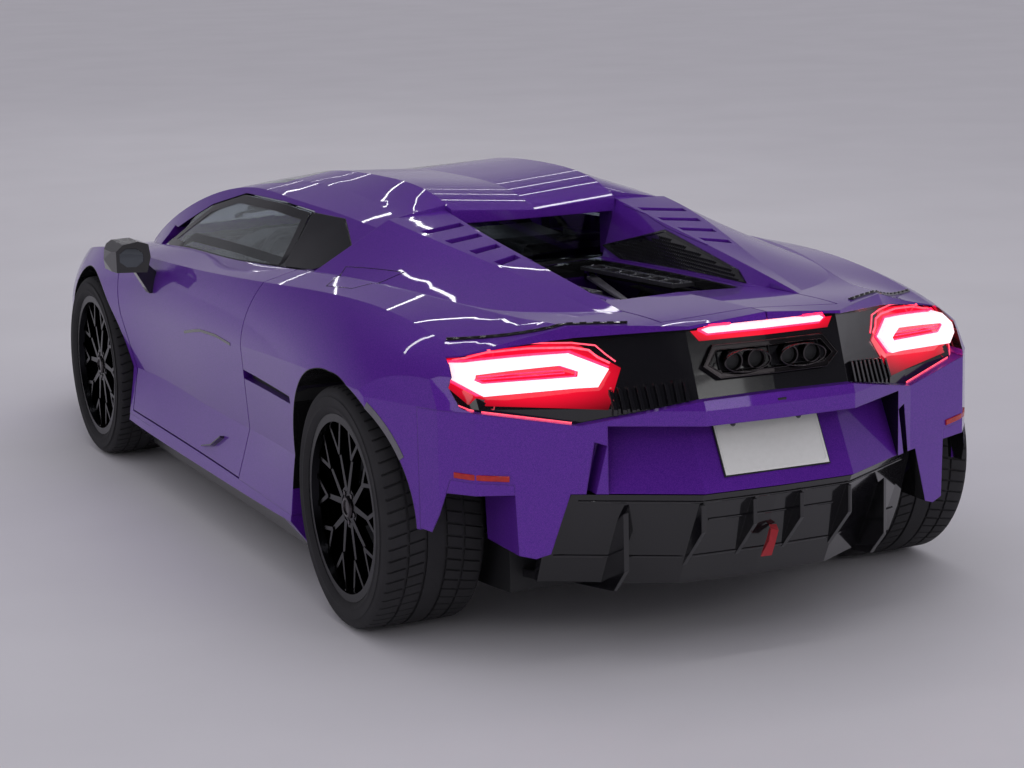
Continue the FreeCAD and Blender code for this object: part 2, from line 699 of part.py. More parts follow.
def make_steering_wheel():
    """Rim, hub and three spokes, facing the driver."""
    pieces = [
        Part.makeCylinder(48, 30, V(0, 0, -15)),
        Part.makeBox(2 * steering_wheel_radius, 34, 16, V(-steering_wheel_radius, -17, -8)),
        Part.makeBox(30, steering_wheel_radius, 14, V(-15, -steering_wheel_radius, -7)),
    ]
    ring = [(15 * math.cos(math.radians(a)), 15 * math.sin(math.radians(a))) for a in range(0, 360, 60)]
    ring = polygon([(steering_wheel_radius + a, 0, b) for a, b in ring]).revolve(V(0, 0, 0), V(0, 0, 1), 360)
    wheel = ring.fuse(pieces)
    wheel.rotate(V(0, 0, 0), V(1, 0, 0), column_rake - 90)
    return wheel.translated(V(seat_centre_x, steering_wheel_y, steering_wheel_z))


def make_mirror():
    """Door mirror, its head on a stalk that stands on the door's shoulder."""
    head = plan_prism([(972, -395), (1085, -440), (1098, -560), (1075, -600), (985, -500)], 800, 930)
    front = [(985, 815), (1090, 815), (1098, 850), (1090, 885), (1060, 915), (1010, 925), (978, 915), (972, 870)]
    head = head.common(rear_prism(front, -650, -350))
    stalk = rear_prism([(930, 735), (975, 735), (1030, 830), (985, 850), (925, 790)], -470, -425)
    return head.fuse(stalk)


# The outside of the left half, and what is hollow in it
hull = lofted(HULL_ROWS, shoulder_edge, shoulder_bulge)
cabin_top = lofted(ROOF_ROWS)
envelope = make_tail_envelope()
tail_inner = make_tail_envelope(tail_wall)
recess_floor = make_tail_envelope(tail_recess)
bumper_inner = make_tail_envelope(bumper_wall)
wells = make_wheel_wells()
cabin_hollow = make_cabin_hollow()
body = hull.common(envelope)

mid_front_y = front_axle_y - front_arch_radius - 3
splitter_top_z = 172.0
sill_top_z = door_bottom_z - shut_gap

bonnet_void = top_skin(hull, plan_prism(bonnet_outline(shut_gap), 400, beyond_z), lid_thickness + shut_gap)
gutter = top_skin(hull, block(0, bonnet_rear_half + shut_gap, bonnet_rear_y - 80, bonnet_rear_y + gutter_width,
                              400, beyond_z), gutter_depth)
lid_void = top_skin(hull, plan_prism(engine_lid_outline(shut_gap), 700, beyond_z), lid_thickness + shut_gap)
lid_void = lid_void.fuse(plan_prism(engine_lid_outline(shut_gap), 940, beyond_z))
lid_gutter = block(0, lid_rail_half_width + shut_gap, lid_front_y - gutter_width, lid_front_y + 80,
                   846, beyond_z)
door_void = door_region(shut_gap)
lamp_lens = biggest(top_skin(body, lamp_region(), 22))
recess_prism = rear_prism(LAMP_RECESS, band_front_y - 60, 2400)
recess_cut = envelope.cut(tail_inner).common(recess_prism)
nose_intake = rear_prism(NOSE_INTAKE, nose_y - 10, nose_y + 230)
nose_centre_intake = rear_prism(NOSE_CENTRE_INTAKE, nose_y - 10, nose_y + 130)
side_intake = plan_prism(SIDE_INTAKE_PLAN, 400, 700).common(side_prism(SIDE_INTAKE_SIDE, 800, beyond_x))
shell = body.cut([
    wells,
    nose_intake,
    nose_centre_intake,
    side_intake,
    cabin_hollow,
    block(0, tub_half_width, tub_front_y, tub_rear_y, tub_floor_z, 1000),
    block(0, 600, -2180, -1930, 215, 470),
    block(0, bay_half_width, bay_front_y, bay_rear_y, bay_floor_z, bay_top_z),
    block(0, opening_half_width, opening_front_y, bay_rear_y, 800, 1200),
    bumper_inner.common(block(0, 700, bay_rear_y - 1, 2400, bay_floor_z, tail_low_z)),
    tail_inner.common(block(0, 700, bay_rear_y - 1, 2400, tail_low_z - 1, 835)),
    bonnet_void,
    gutter,
    lid_void,
    lid_gutter,
    door_void,
    lamp_lens,
    recess_cut,
])
print("shell", shell.isValid(), len(shell.Solids), round(shell.Volume / 1e9, 3))


def part_of(region):
    return biggest(shell.common(region))


# Hinges
bonnet_fixed, bonnet_eye = lid_hinge(bonnet_hinge_x, bonnet_rear_y + 19, 786, -1)
lid_fixed, lid_eye = lid_hinge(engine_lid_hinge_x, lid_front_y - 19, 887, 1)
door_hinges = [door_hinge(z) for z in door_hinge_heights]

# Front body
bumper = whole(part_of(block(0, beyond_x, nose_y - 10, mid_front_y, splitter_top_z, beyond_z)))
thread = Part.makeCylinder(tow_thread_radius, tow_thread_depth + 50,
                           V(tow_thread_place[0], nose_y - 50, tow_thread_place[1]), V(0, 1, 0))
save("front_bumper", bumper.cut(thread))
save("headlamps", pair(lamp_lens))
save("front_splitter", whole(part_of(block(0, beyond_x, nose_y - 10, mid_front_y, 0, splitter_top_z))))
bonnet = biggest(top_skin(hull, plan_prism(bonnet_outline(), 400, beyond_z), lid_thickness))
save("front_lid", whole(biggest(bonnet.fuse(bonnet_eye))))
fender_region = block(bonnet_front_half + 60, beyond_x, mid_front_y, -560, 0, beyond_z)
fender_region = fender_region.cut(block(0, beyond_x, cabin_front_y, 0, 0, sill_top_z - 15))
fender = part_of(fender_region).fuse([bonnet_fixed] + [hinge[0] for hinge in door_hinges])
save("front_fenders", pair(biggest(fender)))
frame = part_of(block(0, bonnet_front_half + 60, mid_front_y, -1000, 0, beyond_z))
save("front_frame", whole(frame))
floor_region = block(0, 790, -1000, quarter_front_y, 0, 900).fuse(
    block(0, rear_well_inner_x, quarter_front_y, roof_rear_y, 0, 900))
floor = part_of(floor_region.cut(fender_region))
pads = [block(690, 750, y - 30, y + 30, jack_pad_z, 128) for y in jack_pad_places]
save("floor_pan", whole(biggest(floor.fuse(pads))))
skirt_rear_y = rear_axle_y - rear_arch_radius - rear_arch_lead - 3
skirt = part_of(block(790, beyond_x, -820, skirt_rear_y, 0, sill_top_z).cut(fender_region))
save("side_skirts", pair(skirt))

# Cabin top and its glass
roof_region = plan_prism([(0, roof_lip_y), (295, roof_rear_y + 40), (300, roof_rear_y), (1000, roof_rear_y),
                          (1000, -1200), (0, -1200)], 0, beyond_z)
screen_region = plan_prism(WINDSCREEN, 700, 1300)
roof = cabin_top.common(roof_region).cut([
    cabin_hollow,
    hull,
    screen_region,
    window_opening(shut_gap),
    door_void,
    block(0, rear_window_half, rear_window_y - 20, roof_lip_y + 20, rear_window_low_z, rear_window_high_z),
])
roof = biggest(roof)
save("roof_frame", whole(roof))
save("windscreen", whole(biggest(top_skin(cabin_top, screen_region, glass_thickness).cut(hull))))
pane = cabin_top.common(side_prism(SIDE_WINDOW, 450, 1000))
pane_region = Part.makeCylinder(pane_reach, 600, V(door_hinge_x, door_hinge_y, 700)).fuse(
    block(450, 1000, door_hinge_y, 700, 700, beyond_z))
pane = biggest(pane.common(pane_region).cut([cabin_top.translated(V(-glass_thickness * 1.2, 0, 0)), hull]))
save("door_glass_left", pane)
save("door_glass_right", mirrored(pane))
save("rear_window", block(-rear_window_half, rear_window_half, rear_window_y, rear_window_y + glass_thickness,
                          rear_window_low_z, rear_window_high_z))

# Doors and mirrors
door = biggest(body.common(door_region()).cut([wells, cabin_hollow, cabin_top]))
for fixed, pocket, eyes, bore in door_hinges:
    door = door.cut(pocket).fuse(eyes).cut(bore)
door = biggest(door)
save("door_left", door)
save("door_right", mirrored(door))
mirror = biggest(make_mirror().cut(door))
save("mirror_left", mirror)
save("mirror_right", mirrored(mirror))

# Rear body
bumper_region = rear_prism(BUMPER_REAR, band_front_y, 2400)
rear_frame_region = block(0, rear_well_inner_x, roof_rear_y, band_front_y, 0, bay_floor_z)
lean = math.tan(math.radians(plate_tilt))
plate_levels = [(z, tail_y - plate_centre[0] - (plate_centre[1] - z) * lean) for z in (500, plate_panel_top_z)]
plate_recess = block(0, plate_panel_half, 1900, 2400, 500, plate_panel_top_z).cut(leaning_tail(plate_levels))
side_slot = rear_prism(SIDE_SLOT, 1900, 2400).cut(make_tail_envelope(60))
save("rear_bumper", whole(biggest(part_of(bumper_region).cut([plate_recess, side_slot]))))
frame = part_of(rear_frame_region)
save("rear_frame", whole(frame))
buttress = make_buttress().common(envelope).cut([lid_void, recess_cut, wells, lid_gutter])
slots = [louvre(y) for y in louvre_places]
pockets = [top_skin(buttress, slot, louvre_depth) for slot in slots]
sunk = buttress.translated(V(0, 0, insert_thickness - louvre_depth))
black_trims = [biggest(top_skin(sunk, louvre(y, seat_gap), insert_thickness - seat_gap)) for y in louvre_places]
mesh_panel = buttress.translated(V(-5, 0, 0)).cut(buttress.translated(V(-seat_gap, 0, 0)))
black_trims.append(biggest(mesh_panel.common(side_prism(MESH_PANEL, 150, 330))))
body_top = hull.translated(V(0, 0, seat_gap))
black_trims[-1] = biggest(black_trims[-1].cut(body_top))
roof_side = cabin_top.common(block(0, beyond_x, 150, roof_rear_y + 5, 0, beyond_z)).fuse(make_buttress())
sail_panel = roof_side.translated(V(6, 0, 0)).cut([roof_side.translated(V(seat_gap, 0, 0)), body_top, door_void])
black_trims.append(biggest(sail_panel.common(side_prism(SAIL_PANEL, 500, 1000))))
save("black_trims", Part.makeCompound(black_trims + [mirrored(piece) for piece in black_trims]))
buttress = buttress.cut(pockets)
quarter_region = block(0, beyond_x, quarter_front_y, 2400, sill_top_z, beyond_z)
quarter_region = quarter_region.fuse(block(790, beyond_x, 400, quarter_front_y, sill_top_z, door_top_z))
quarter = shell.common(quarter_region).fuse(buttress)
quarter = quarter.cut([
    bumper_region,
    floor_region,
    rear_frame_region,
    block(0, beyond_x, band_front_y, 2400, 0, bumper_under_z),
    cabin_top.common(roof_region),
])
quarter = biggest(quarter.common(block(2, beyond_x, 0, 2400, 0, beyond_z)).fuse(lid_fixed))
print("quarter", quarter.isValid(), len(quarter.Solids))
save("quarter_left", quarter)
save("quarter_right", mirrored(quarter))
lid = top_skin(body, plan_prism(engine_lid_outline(), 700, beyond_z), lid_thickness)
lid = lid.cut(block(0, opening_half_width, opening_front_y, opening_rear_y, 700, 1200))
save("engine_lid", whole(biggest(lid.fuse(lid_eye))))


def on_tail_panel(outline, proud):
    """A flat form that stands proud of the tail panel by the given depth."""
    return rear_prism(outline, 1700, 2400).common(make_tail_envelope(tail_recess - proud)).cut(recess_floor)


bores = [Part.makeCylinder(exhaust_pipe_radius - 4, 200, V(x, 2150, z), V(0, 1, 0)) for x, z in exhaust_pipes]
panel = biggest(recess_floor.cut(tail_inner).common(recess_prism).common(hull).cut(bores))
slats = []
for k in range(slat_count):
    x0 = slat_first_x + slat_pitch * k
    low = 766 - (x0 - 236) * 68 / 299 + 3
    slats.append(on_tail_panel([(x0, low), (x0 + slat_width, low), (x0 + slat_width, slat_top_z - 3 * k),
                                (x0, slat_top_z - 3 * k)], slat_proud))
lamp = biggest(on_tail_panel(LAMP_OUTER, lamp_proud).cut(rear_prism(LAMP_INNER, 1700, 2400)))
save("tail_panel", whole(biggest(panel.fuse(slats).cut(lamp))))
bar = whole(biggest(on_tail_panel(BRAKE_BAR, 12)))
save("tail_lamps", Part.makeCompound([lamp, mirrored(lamp), bar]))
exhaust_hole = rear_prism(EXHAUST_HOLE, 1700, 2400)
exhaust = [whole(biggest(on_tail_panel(EXHAUST_FRAME, 16).cut(exhaust_hole)))]
for (x, z), bore in zip(exhaust_pipes, bores):
    pipe = Part.makeCylinder(exhaust_pipe_radius, 80, V(x, 2220, z), V(0, 1, 0))
    pipe = biggest(pipe.cut([recess_floor, bore]))
    exhaust += [pipe, mirrored(pipe)]
save("exhaust_tips", Part.makeCompound(exhaust))

# Under the tail
diffuser_face = leaning_tail(diffuser_levels)
outline = rear_prism(DIFFUSER_REAR, 1900, 2400)
diffuser = diffuser_face.cut(diffuser_face.translated(V(0, -diffuser_wall, 0))).common(outline)
diffuser_floor = side_prism([(band_front_y, 205), (2250, 262), (2250, 285), (band_front_y, 228)], 0, 585)
pieces = [diffuser_floor.common(diffuser_face)]
for x in diffuser_fins:
    fin = side_prism([(band_front_y, 165), (2140, 205), (2350, 420), (2350, 470), (2250, 470), (band_front_y, 228)],
                     x - 6, x + 6)
    pieces.append(fin.common(make_tail_envelope(22)))
save("diffuser", whole(biggest(diffuser.fuse(pieces))))
plate = block(-165, 165, seat_gap, seat_gap + 3, -82.5, 82.5)
plate.rotate(V(0, 0, 0), V(1, 0, 0), plate_tilt)
save("number_plate", plate.translated(V(0, plate_centre[0], plate_centre[1])))

# Grilles: slotted rails beside the engine, and blades in the nose's and the sides' intakes
rail = make_grille_rail()
save("engine_grille", pair(rail))
post = block(428, 440, nose_y + 70, nose_y + 150, 0, 600)
blades = [block(0, 600, nose_y + 60, nose_y + 160, z, z + 6) for z in intake_blade_heights]
nose_grille = biggest(post.fuse(blades).common(nose_intake))
vent = plan_prism([(922, 545), (927, 545), (947, 1045), (942, 1045)], 400, 700).common(side_intake)
save("intake_grilles", Part.makeCompound([nose_grille, mirrored(nose_grille), vent, mirrored(vent)]))

# Wheels, brakes, knuckles and suspension arms
WHEELS = [
    # name, axle y, half track, tyre width, tyre radius, rim radius, disc radius, stub axle's end
    ("front", front_axle_y, front_half_track, front_tyre_width, front_tyre_radius, front_rim_radius,
     front_disc_radius, front_stub_end),
    ("rear", rear_axle_y, rear_half_track, rear_tyre_width, rear_tyre_radius, rear_rim_radius,
     rear_disc_radius, rear_stub_end),
]
for name, axle_y, half_track, tyre_width, tyre_radius, rim_radius, disc_radius, stub_end in WHEELS:
    place = V(half_track, axle_y, tyre_radius)
    pieces = {
        "tyre": tyre(tyre_width, tyre_radius, rim_radius),
        "rim": rim(tyre_width, rim_radius, stub_end),
        "brake_disc": brake_disc(disc_radius),
    }
    for label, shape in pieces.items():
        left = shape.translated(place)
        save(label + "_" + name + "_left", left)
        save(label + "_" + name + "_right", mirrored(left))
front_place = V(front_half_track, front_axle_y, front_tyre_radius)
front_knuckle = knuckle(front_disc_radius, 1, front_stub_end).translated(front_place)
save("knuckle_left", front_knuckle)
save("knuckle_right", mirrored(front_knuckle))
arms = make_arms(front_axle_y, front_well_inner_x, front_half_track - kingpin_inset, front_tyre_radius)
save("front_suspension", Part.makeCompound(arms + [mirrored(arm) for arm in arms]))
rear_place = V(rear_half_track, rear_axle_y, rear_tyre_radius)
rear_knuckle = knuckle(rear_disc_radius, -1, rear_stub_end).translated(rear_place)
shaft = cross_cylinder(rear_well_inner_x + seat_gap, rear_half_track - 80, rear_axle_y, rear_tyre_radius,
                       half_shaft_radius)
rear_knuckle = rear_knuckle.fuse(shaft)
arms = make_arms(rear_axle_y, rear_well_inner_x, rear_half_track - kingpin_inset, rear_tyre_radius)
arms.append(rear_knuckle)
save("rear_suspension", Part.makeCompound(arms + [mirrored(arm) for arm in arms]))

# Cabin and engine
save("engine", make_engine())
save("seats", pair(make_seat()))
save("dashboard", make_dashboard())
save("steering_wheel", make_steering_wheel())
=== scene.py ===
"""Looks of a two-seat mid-engined sports car: paint, glass, lit tail lamps, tyres, cabin and open engine.

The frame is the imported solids, in metres: +X to the car's left, -Y to the nose, +Z up. Pieces of this
script lie on those solids, found by dropping their lines onto the skins.
"""

import json
import math

import bmesh
import bpy
from mathutils import Matrix, Vector
from mathutils.bvhtree import BVHTree


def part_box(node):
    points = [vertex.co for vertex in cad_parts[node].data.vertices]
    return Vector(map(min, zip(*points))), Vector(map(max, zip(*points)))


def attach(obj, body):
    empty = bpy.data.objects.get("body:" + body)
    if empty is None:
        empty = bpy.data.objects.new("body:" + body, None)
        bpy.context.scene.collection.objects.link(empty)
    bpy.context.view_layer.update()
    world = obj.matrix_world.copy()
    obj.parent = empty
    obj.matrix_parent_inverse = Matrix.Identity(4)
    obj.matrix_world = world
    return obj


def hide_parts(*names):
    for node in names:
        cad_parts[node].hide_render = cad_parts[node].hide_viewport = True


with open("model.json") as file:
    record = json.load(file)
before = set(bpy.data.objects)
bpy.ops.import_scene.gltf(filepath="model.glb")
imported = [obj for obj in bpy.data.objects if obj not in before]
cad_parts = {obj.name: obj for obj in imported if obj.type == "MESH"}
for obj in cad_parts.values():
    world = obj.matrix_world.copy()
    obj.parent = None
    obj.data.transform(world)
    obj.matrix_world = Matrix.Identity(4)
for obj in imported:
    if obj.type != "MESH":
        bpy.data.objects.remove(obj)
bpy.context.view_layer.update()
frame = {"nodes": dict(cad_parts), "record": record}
nodes = frame["nodes"]
scene = bpy.context.scene

UP = Vector((0, 0, 1))
DOWN = Vector((0, 0, -1))
LEFT = Vector((1, 0, 0))
RIGHT = Vector((-1, 0, 0))
FORWARD = Vector((0, -1, 0))
BACKWARD = Vector((0, 1, 0))
SIDES = {1: "left", -1: "right"}
WHEELS = ("front_left", "front_right", "rear_left", "rear_right")

# Height of the belt line, radii of the wheel arches, and the open valley's half width and ends
BELT_HEIGHT = 0.862
FRONT_ARCH = 0.384
REAR_ARCH = 0.410
VALLEY_HALF_WIDTH = 0.205
VALLEY_FRONT = 0.755
VALLEY_REAR = 1.738


def wheel_size(name):
    """A wheel's centre, width and outer radius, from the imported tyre."""
    low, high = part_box("tyre_" + name)
    return (low + high) / 2, high.x - low.x, (high.z - low.z) / 2


# Colours and shader nodes


def colour(code):
    """An sRGB hex code as linear red, green, blue and full alpha."""
    channels = []
    for k in (1, 3, 5):
        c = int(code[k:k + 2], 16) / 255
        channels.append(c / 12.92 if c <= 0.04045 else ((c + 0.055) / 1.055) ** 2.4)
    return (*channels, 1.0)


def add(tree, kind, inputs=None, **settings):
    """Adds one shader node. inputs are values, sockets or nodes, whose first output then feeds them."""
    node = tree.nodes.new("ShaderNode" + kind)
    for name, value in settings.items():
        setattr(node, name, value)
    for name, value in (inputs or {}).items():
        if isinstance(value, bpy.types.Node):
            value = value.outputs[0]
        if isinstance(value, bpy.types.NodeSocket):
            tree.links.new(value, node.inputs[name])
        else:
            node.inputs[name].default_value = value
    return node


def new_finish(name):
    """An empty material, its node tree, and its places on the object."""
    material = bpy.data.materials.new(name)
    material.use_nodes = True
    tree = material.node_tree
    tree.nodes.clear()
    return material, tree, add(tree, "TexCoord").outputs["Object"]


def cells(width):
    """Scale of a noise or cell pattern, from the width in millimetres of one grain."""
    return 1000 / width


def waves(spacing):
    """Scale of a wave pattern from the millimetres between waves, as scale 1 has 20 / tau waves a metre."""
    return cells(spacing) * math.tau / 20


# Materials


def make_paint():
    """Violet pearl enamel under clear lacquer: deep in the shade and bluer where light falls. Undersides,
    lining, wheel arches and the engine's valley stay black primer, and edges are rounded by 6 mm."""
    material, tree, place = new_finish("violet_pearl_enamel")
    # Flakes are 0.05 mm wide in real enamel, and drawn 1.5 mm wide so that they show
    flakes = add(tree, "TexVoronoi", {"Vector": place, "Scale": cells(1.54)})
    shade = add(tree, "MixRGB", {"Fac": flakes.outputs["Color"], "Color1": colour("#4c1e92"),
                                 "Color2": colour("#7632b8")})
    at = add(tree, "SeparateXYZ", {"Vector": place})
    facing = add(tree, "SeparateXYZ", {"Vector": add(tree, "TexCoord").outputs["Normal"]})
    bare = [add(tree, "Math", {0: facing.outputs["Z"], 1: -0.6}, operation="LESS_THAN")]
    side = add(tree, "Math", {0: at.outputs["X"]}, operation="SIGN")
    outward = add(tree, "Math", {0: facing.outputs["X"], 1: side}, operation="MULTIPLY")
    turned_in = add(tree, "Math", {0: outward, 1: -0.7}, operation="LESS_THAN")
    low = add(tree, "Math", {0: at.outputs["Z"], 1: BELT_HEIGHT}, operation="LESS_THAN")
    bare.append(add(tree, "Math", {0: turned_in, 1: low}, operation="MULTIPLY"))
    # The rear arch is longer than it is high, so it has a second circle 45 mm before the axle
    flat = add(tree, "CombineXYZ", {"Y": at.outputs["Y"], "Z": at.outputs["Z"]})
    for wheel, before, arch in (("front_left", 0.0, FRONT_ARCH), ("rear_left", 0.0, REAR_ARCH),
                                ("rear_left", 0.045, REAR_ARCH)):
        axle = wheel_size(wheel)[0] + FORWARD * before
        away = add(tree, "VectorMath", {0: flat, 1: (0, axle.y, axle.z)}, operation="DISTANCE")
        bare.append(add(tree, "Math", {0: away.outputs["Value"], 1: arch}, operation="LESS_THAN"))
    half = add(tree, "Math", {0: at.outputs["X"]}, operation="ABSOLUTE")
    valley = add(tree, "Math", {0: half, 1: VALLEY_HALF_WIDTH}, operation="LESS_THAN")
    for y, side_of in ((VALLEY_FRONT, "GREATER_THAN"), (VALLEY_REAR, "LESS_THAN")):
        end = add(tree, "Math", {0: at.outputs["Y"], 1: y}, operation=side_of)
        valley = add(tree, "Math", {0: valley, 1: end}, operation="MULTIPLY")
    bare.append(valley)
    mask = bare[0]
    for other in bare[1:]:
        mask = add(tree, "Math", {0: mask, 1: other}, operation="MAXIMUM")
    # Orange peel of the lacquer, in waves about 8 mm long
    peel = add(tree, "TexNoise", {"Vector": place, "Scale": cells(8.33), "Detail": 1.0})
    edges = add(tree, "Bevel", {"Radius": 0.006}, samples=4)
    shader = add(tree, "BsdfPrincipled", {
        "Base Color": add(tree, "MixRGB", {"Fac": mask, "Color1": shade, "Color2": colour("#0f0f11")}),
        "Roughness": add(tree, "MapRange", {"Value": mask, "To Min": 0.36, "To Max": 0.75}),
        "Metallic": add(tree, "MapRange", {"Value": mask, "To Min": 0.35, "To Max": 0.0}),
        "Specular IOR Level": 0.1, "Coat Weight": 0.85, "Coat Roughness": 0.02, "Coat IOR": 1.5,
        "Normal": add(tree, "Bump", {"Strength": 0.02, "Distance": 0.0002, "Height": peel, "Normal": edges}),
    })
    add(tree, "OutputMaterial", {"Surface": shader})
    return material


def make_gloss_black():
    """Black lacquered plastic, polished, so that little but reflections shows, bent by faint waves."""
    material, tree, place = new_finish("black_lacquered_plastic")
    swell = add(tree, "TexNoise", {"Vector": place, "Scale": cells(28.6)})
    edges = add(tree, "Bevel", {"Radius": 0.002}, samples=4)
    shader = add(tree, "BsdfPrincipled", {
        "Base Color": colour("#131216"), "Roughness": 0.14, "IOR": 1.5,
        "Coat Weight": 0.6, "Coat Roughness": 0.03,
        "Normal": add(tree, "Bump", {"Strength": 0.05, "Distance": 0.0015, "Height": swell, "Normal": edges}),
    })
    add(tree, "OutputMaterial", {"Surface": shader})
    return material


def make_satin_black():
    """Injection-moulded black plastic: its spark-eroded grain, drawn 2 mm wide, makes it satin."""
    material, tree, place = new_finish("moulded_black_plastic")
    grain = add(tree, "TexNoise", {"Vector": place, "Scale": cells(2), "Detail": 3.0})
    edges = add(tree, "Bevel", {"Radius": 0.002}, samples=4)
    shader = add(tree, "BsdfPrincipled", {
        "Base Color": add(tree, "MixRGB", {"Fac": grain, "Color1": colour("#161618"),
                                           "Color2": colour("#27272a")}),
        "Roughness": 0.55, "IOR": 1.5,
        "Normal": add(tree, "Bump", {"Strength": 0.3, "Distance": 0.0006, "Height": grain, "Normal": edges}),
    })
    add(tree, "OutputMaterial", {"Surface": shader})
    return material


def make_window_glass():
    """Smoke-tinted laminated glass, clear but for a trace of dust in patches 7 cm wide."""
    material, tree, place = new_finish("smoked_window_glass")
    dust = add(tree, "TexNoise", {"Vector": place, "Scale": cells(71.4), "Detail": 4.0})
    shader = add(tree, "BsdfPrincipled", {
        "Base Color": colour("#c6ced4"), "IOR": 1.52, "Transmission Weight": 1.0,
        "Roughness": add(tree, "MapRange", {"Value": dust, "To Min": 0.0, "To Max": 0.04}),
    })
    add(tree, "OutputMaterial", {"Surface": shader})
    return material


def make_lens():
    """Moulded polycarbonate headlamp lens over a dark bowl, glossy, with upright flutes 22 mm apart."""
    material, tree, place = new_finish("moulded_polycarbonate_lens")
    flutes = add(tree, "TexWave", {"Vector": place, "Scale": waves(22.4), "Distortion": 0.0})
    shader = add(tree, "BsdfPrincipled", {
        "Base Color": add(tree, "MixRGB", {"Fac": flutes.outputs["Fac"], "Color1": colour("#17181b"),
                                           "Color2": colour("#35383d")}),
        "Roughness": 0.05, "IOR": 1.58, "Coat Weight": 1.0,
    })
    add(tree, "OutputMaterial", {"Surface": shader})
    return material


def make_light(name, edge, core, glow):
    """Lit acrylic light guide: its edge colour glows, turning to its core colour in cells 12 mm long."""
    material, tree, place = new_finish(name)
    cell = add(tree, "TexNoise", {"Vector": place, "Scale": cells(12.5)})
    shade = add(tree, "MixRGB", {"Fac": cell, "Color1": colour(edge), "Color2": colour(core)})
    shader = add(tree, "BsdfPrincipled", {
        "Base Color": shade, "Roughness": 0.25, "IOR": 1.49,
        "Emission Color": shade, "Emission Strength": glow,
    })
    add(tree, "OutputMaterial", {"Surface": shader})
    return material


def make_glow_lens():
    """Smoked red lens round the lit rings and under the brake bar: brightest beside them, then fading out."""
    material, tree, place = new_finish("smoked_red_lens")
    at = add(tree, "SeparateXYZ", {"Vector": place})
    across = add(tree, "Math", {0: at.outputs["X"]}, operation="ABSOLUTE")
    flat = add(tree, "CombineXYZ", {"X": across, "Z": at.outputs["Z"]})
    # Middle of the lamp and of the brake bar, and how fast the light falls off sideways and upwards
    glows = []
    for centre, falls in (((0.63, 0, 0.838), (5.2, 0, 12.5)), ((0.0, 0, 0.944), (4.6, 0, 28.0))):
        moved = add(tree, "VectorMath", {0: flat, 1: centre}, operation="SUBTRACT")
        scaled = add(tree, "VectorMath", {0: moved, 1: falls}, operation="MULTIPLY")
        away = add(tree, "VectorMath", {0: scaled}, operation="LENGTH")
        glows.append(add(tree, "MapRange", {
            "Value": away.outputs["Value"], "From Min": 0.55, "From Max": 1.75,
            "To Min": 1.15, "To Max": 0.02,
        }, interpolation_type="SMOOTHSTEP"))
    shader = add(tree, "BsdfPrincipled", {
        "Base Color": colour("#1c0508"), "Roughness": 0.12, "IOR": 1.49, "Coat Weight": 0.5,
        "Emission Color": colour("#ff0f32"),
        "Emission Strength": add(tree, "Math", {0: glows[0], 1: glows[1]}, operation="MAXIMUM"),
    })
    add(tree, "OutputMaterial", {"Surface": shader})
    return material


def make_rubber():
    """Moulded tyre rubber: dull, with fine grain and pale dust in patches 11 cm wide."""
    material, tree, place = new_finish("tyre_rubber")
    dust = add(tree, "TexNoise", {"Vector": place, "Scale": cells(111), "Detail": 6.0})
    grain = add(tree, "TexNoise", {"Vector": place, "Scale": cells(2.38)})
    shader = add(tree, "BsdfPrincipled", {
        "Base Color": add(tree, "MixRGB", {"Fac": dust, "Color1": colour("#18171a"),
                                           "Color2": colour("#2f2e31")}),
        "Roughness": 0.8, "IOR": 1.52,
        "Normal": add(tree, "Bump", {"Strength": 0.3, "Distance": 0.0005, "Height": grain}),
    })
    add(tree, "OutputMaterial", {"Surface": shader})
    return material


def make_metal(name, code, roughness, grain, strength):
    """Bare metal, its gloss broken by machining or casting marks, grain millimetres wide."""
    material, tree, place = new_finish(name)
    marks = add(tree, "TexNoise", {"Vector": place, "Scale": cells(grain), "Detail": 3.0})
    edges = add(tree, "Bevel", {"Radius": 0.0015}, samples=4)
    shader = add(tree, "BsdfPrincipled", {
        "Base Color": colour(code), "Metallic": 1.0,
        "Roughness": add(tree, "MapRange", {"Value": marks, "To Min": roughness - 0.06,
                                            "To Max": roughness + 0.08}),
        "Normal": add(tree, "Bump", {"Strength": strength, "Distance": 0.0005, "Height": marks,
                                     "Normal": edges}),
    })
    add(tree, "OutputMaterial", {"Surface": shader})
    return material


def make_turned_iron(name, wheel):
    """Brake iron turned on a lathe, which leaves rings round the wheel's hub, drawn 4 mm apart."""
    material, tree, place = new_finish(name)
    hub = wheel_size(wheel)[0]
    at = add(tree, "SeparateXYZ", {"Vector": place})
    flat = add(tree, "CombineXYZ", {"Y": at.outputs["Y"], "Z": at.outputs["Z"]})
    away = add(tree, "VectorMath", {0: flat, 1: (0, hub.y, hub.z)}, operation="DISTANCE")
    turns = add(tree, "Math", {0: away.outputs["Value"], 1: math.tau * cells(4)}, operation="MULTIPLY")
    rings = add(tree, "Math", {0: turns}, operation="SINE")
    shader = add(tree, "BsdfPrincipled", {
        "Base Color": colour("#66676a"), "Metallic": 1.0, "Roughness": 0.4,
        "Normal": add(tree, "Bump", {"Strength": 0.5, "Distance": 0.0003, "Height": rings}),
    })
    add(tree, "OutputMaterial", {"Surface": shader})
    return material


def make_enamel(name, code, dark, roughness):
    """Plain enamel or dyed plastic, faintly mottled in spots 17 mm wide."""
    material, tree, place = new_finish(name)
    mottle = add(tree, "TexNoise", {"Vector": place, "Scale": cells(16.67), "Detail": 4.0})
    shader = add(tree, "BsdfPrincipled", {
        "Base Color": add(tree, "MixRGB", {"Fac": mottle, "Color1": colour(dark), "Color2": colour(code)}),
        "Roughness": roughness, "IOR": 1.5, "Coat Weight": 0.3,
        "Normal": add(tree, "Bump", {"Strength": 0.1, "Distance": 0.0003, "Height": mottle}),
    })
    add(tree, "OutputMaterial", {"Surface": shader})
    return material


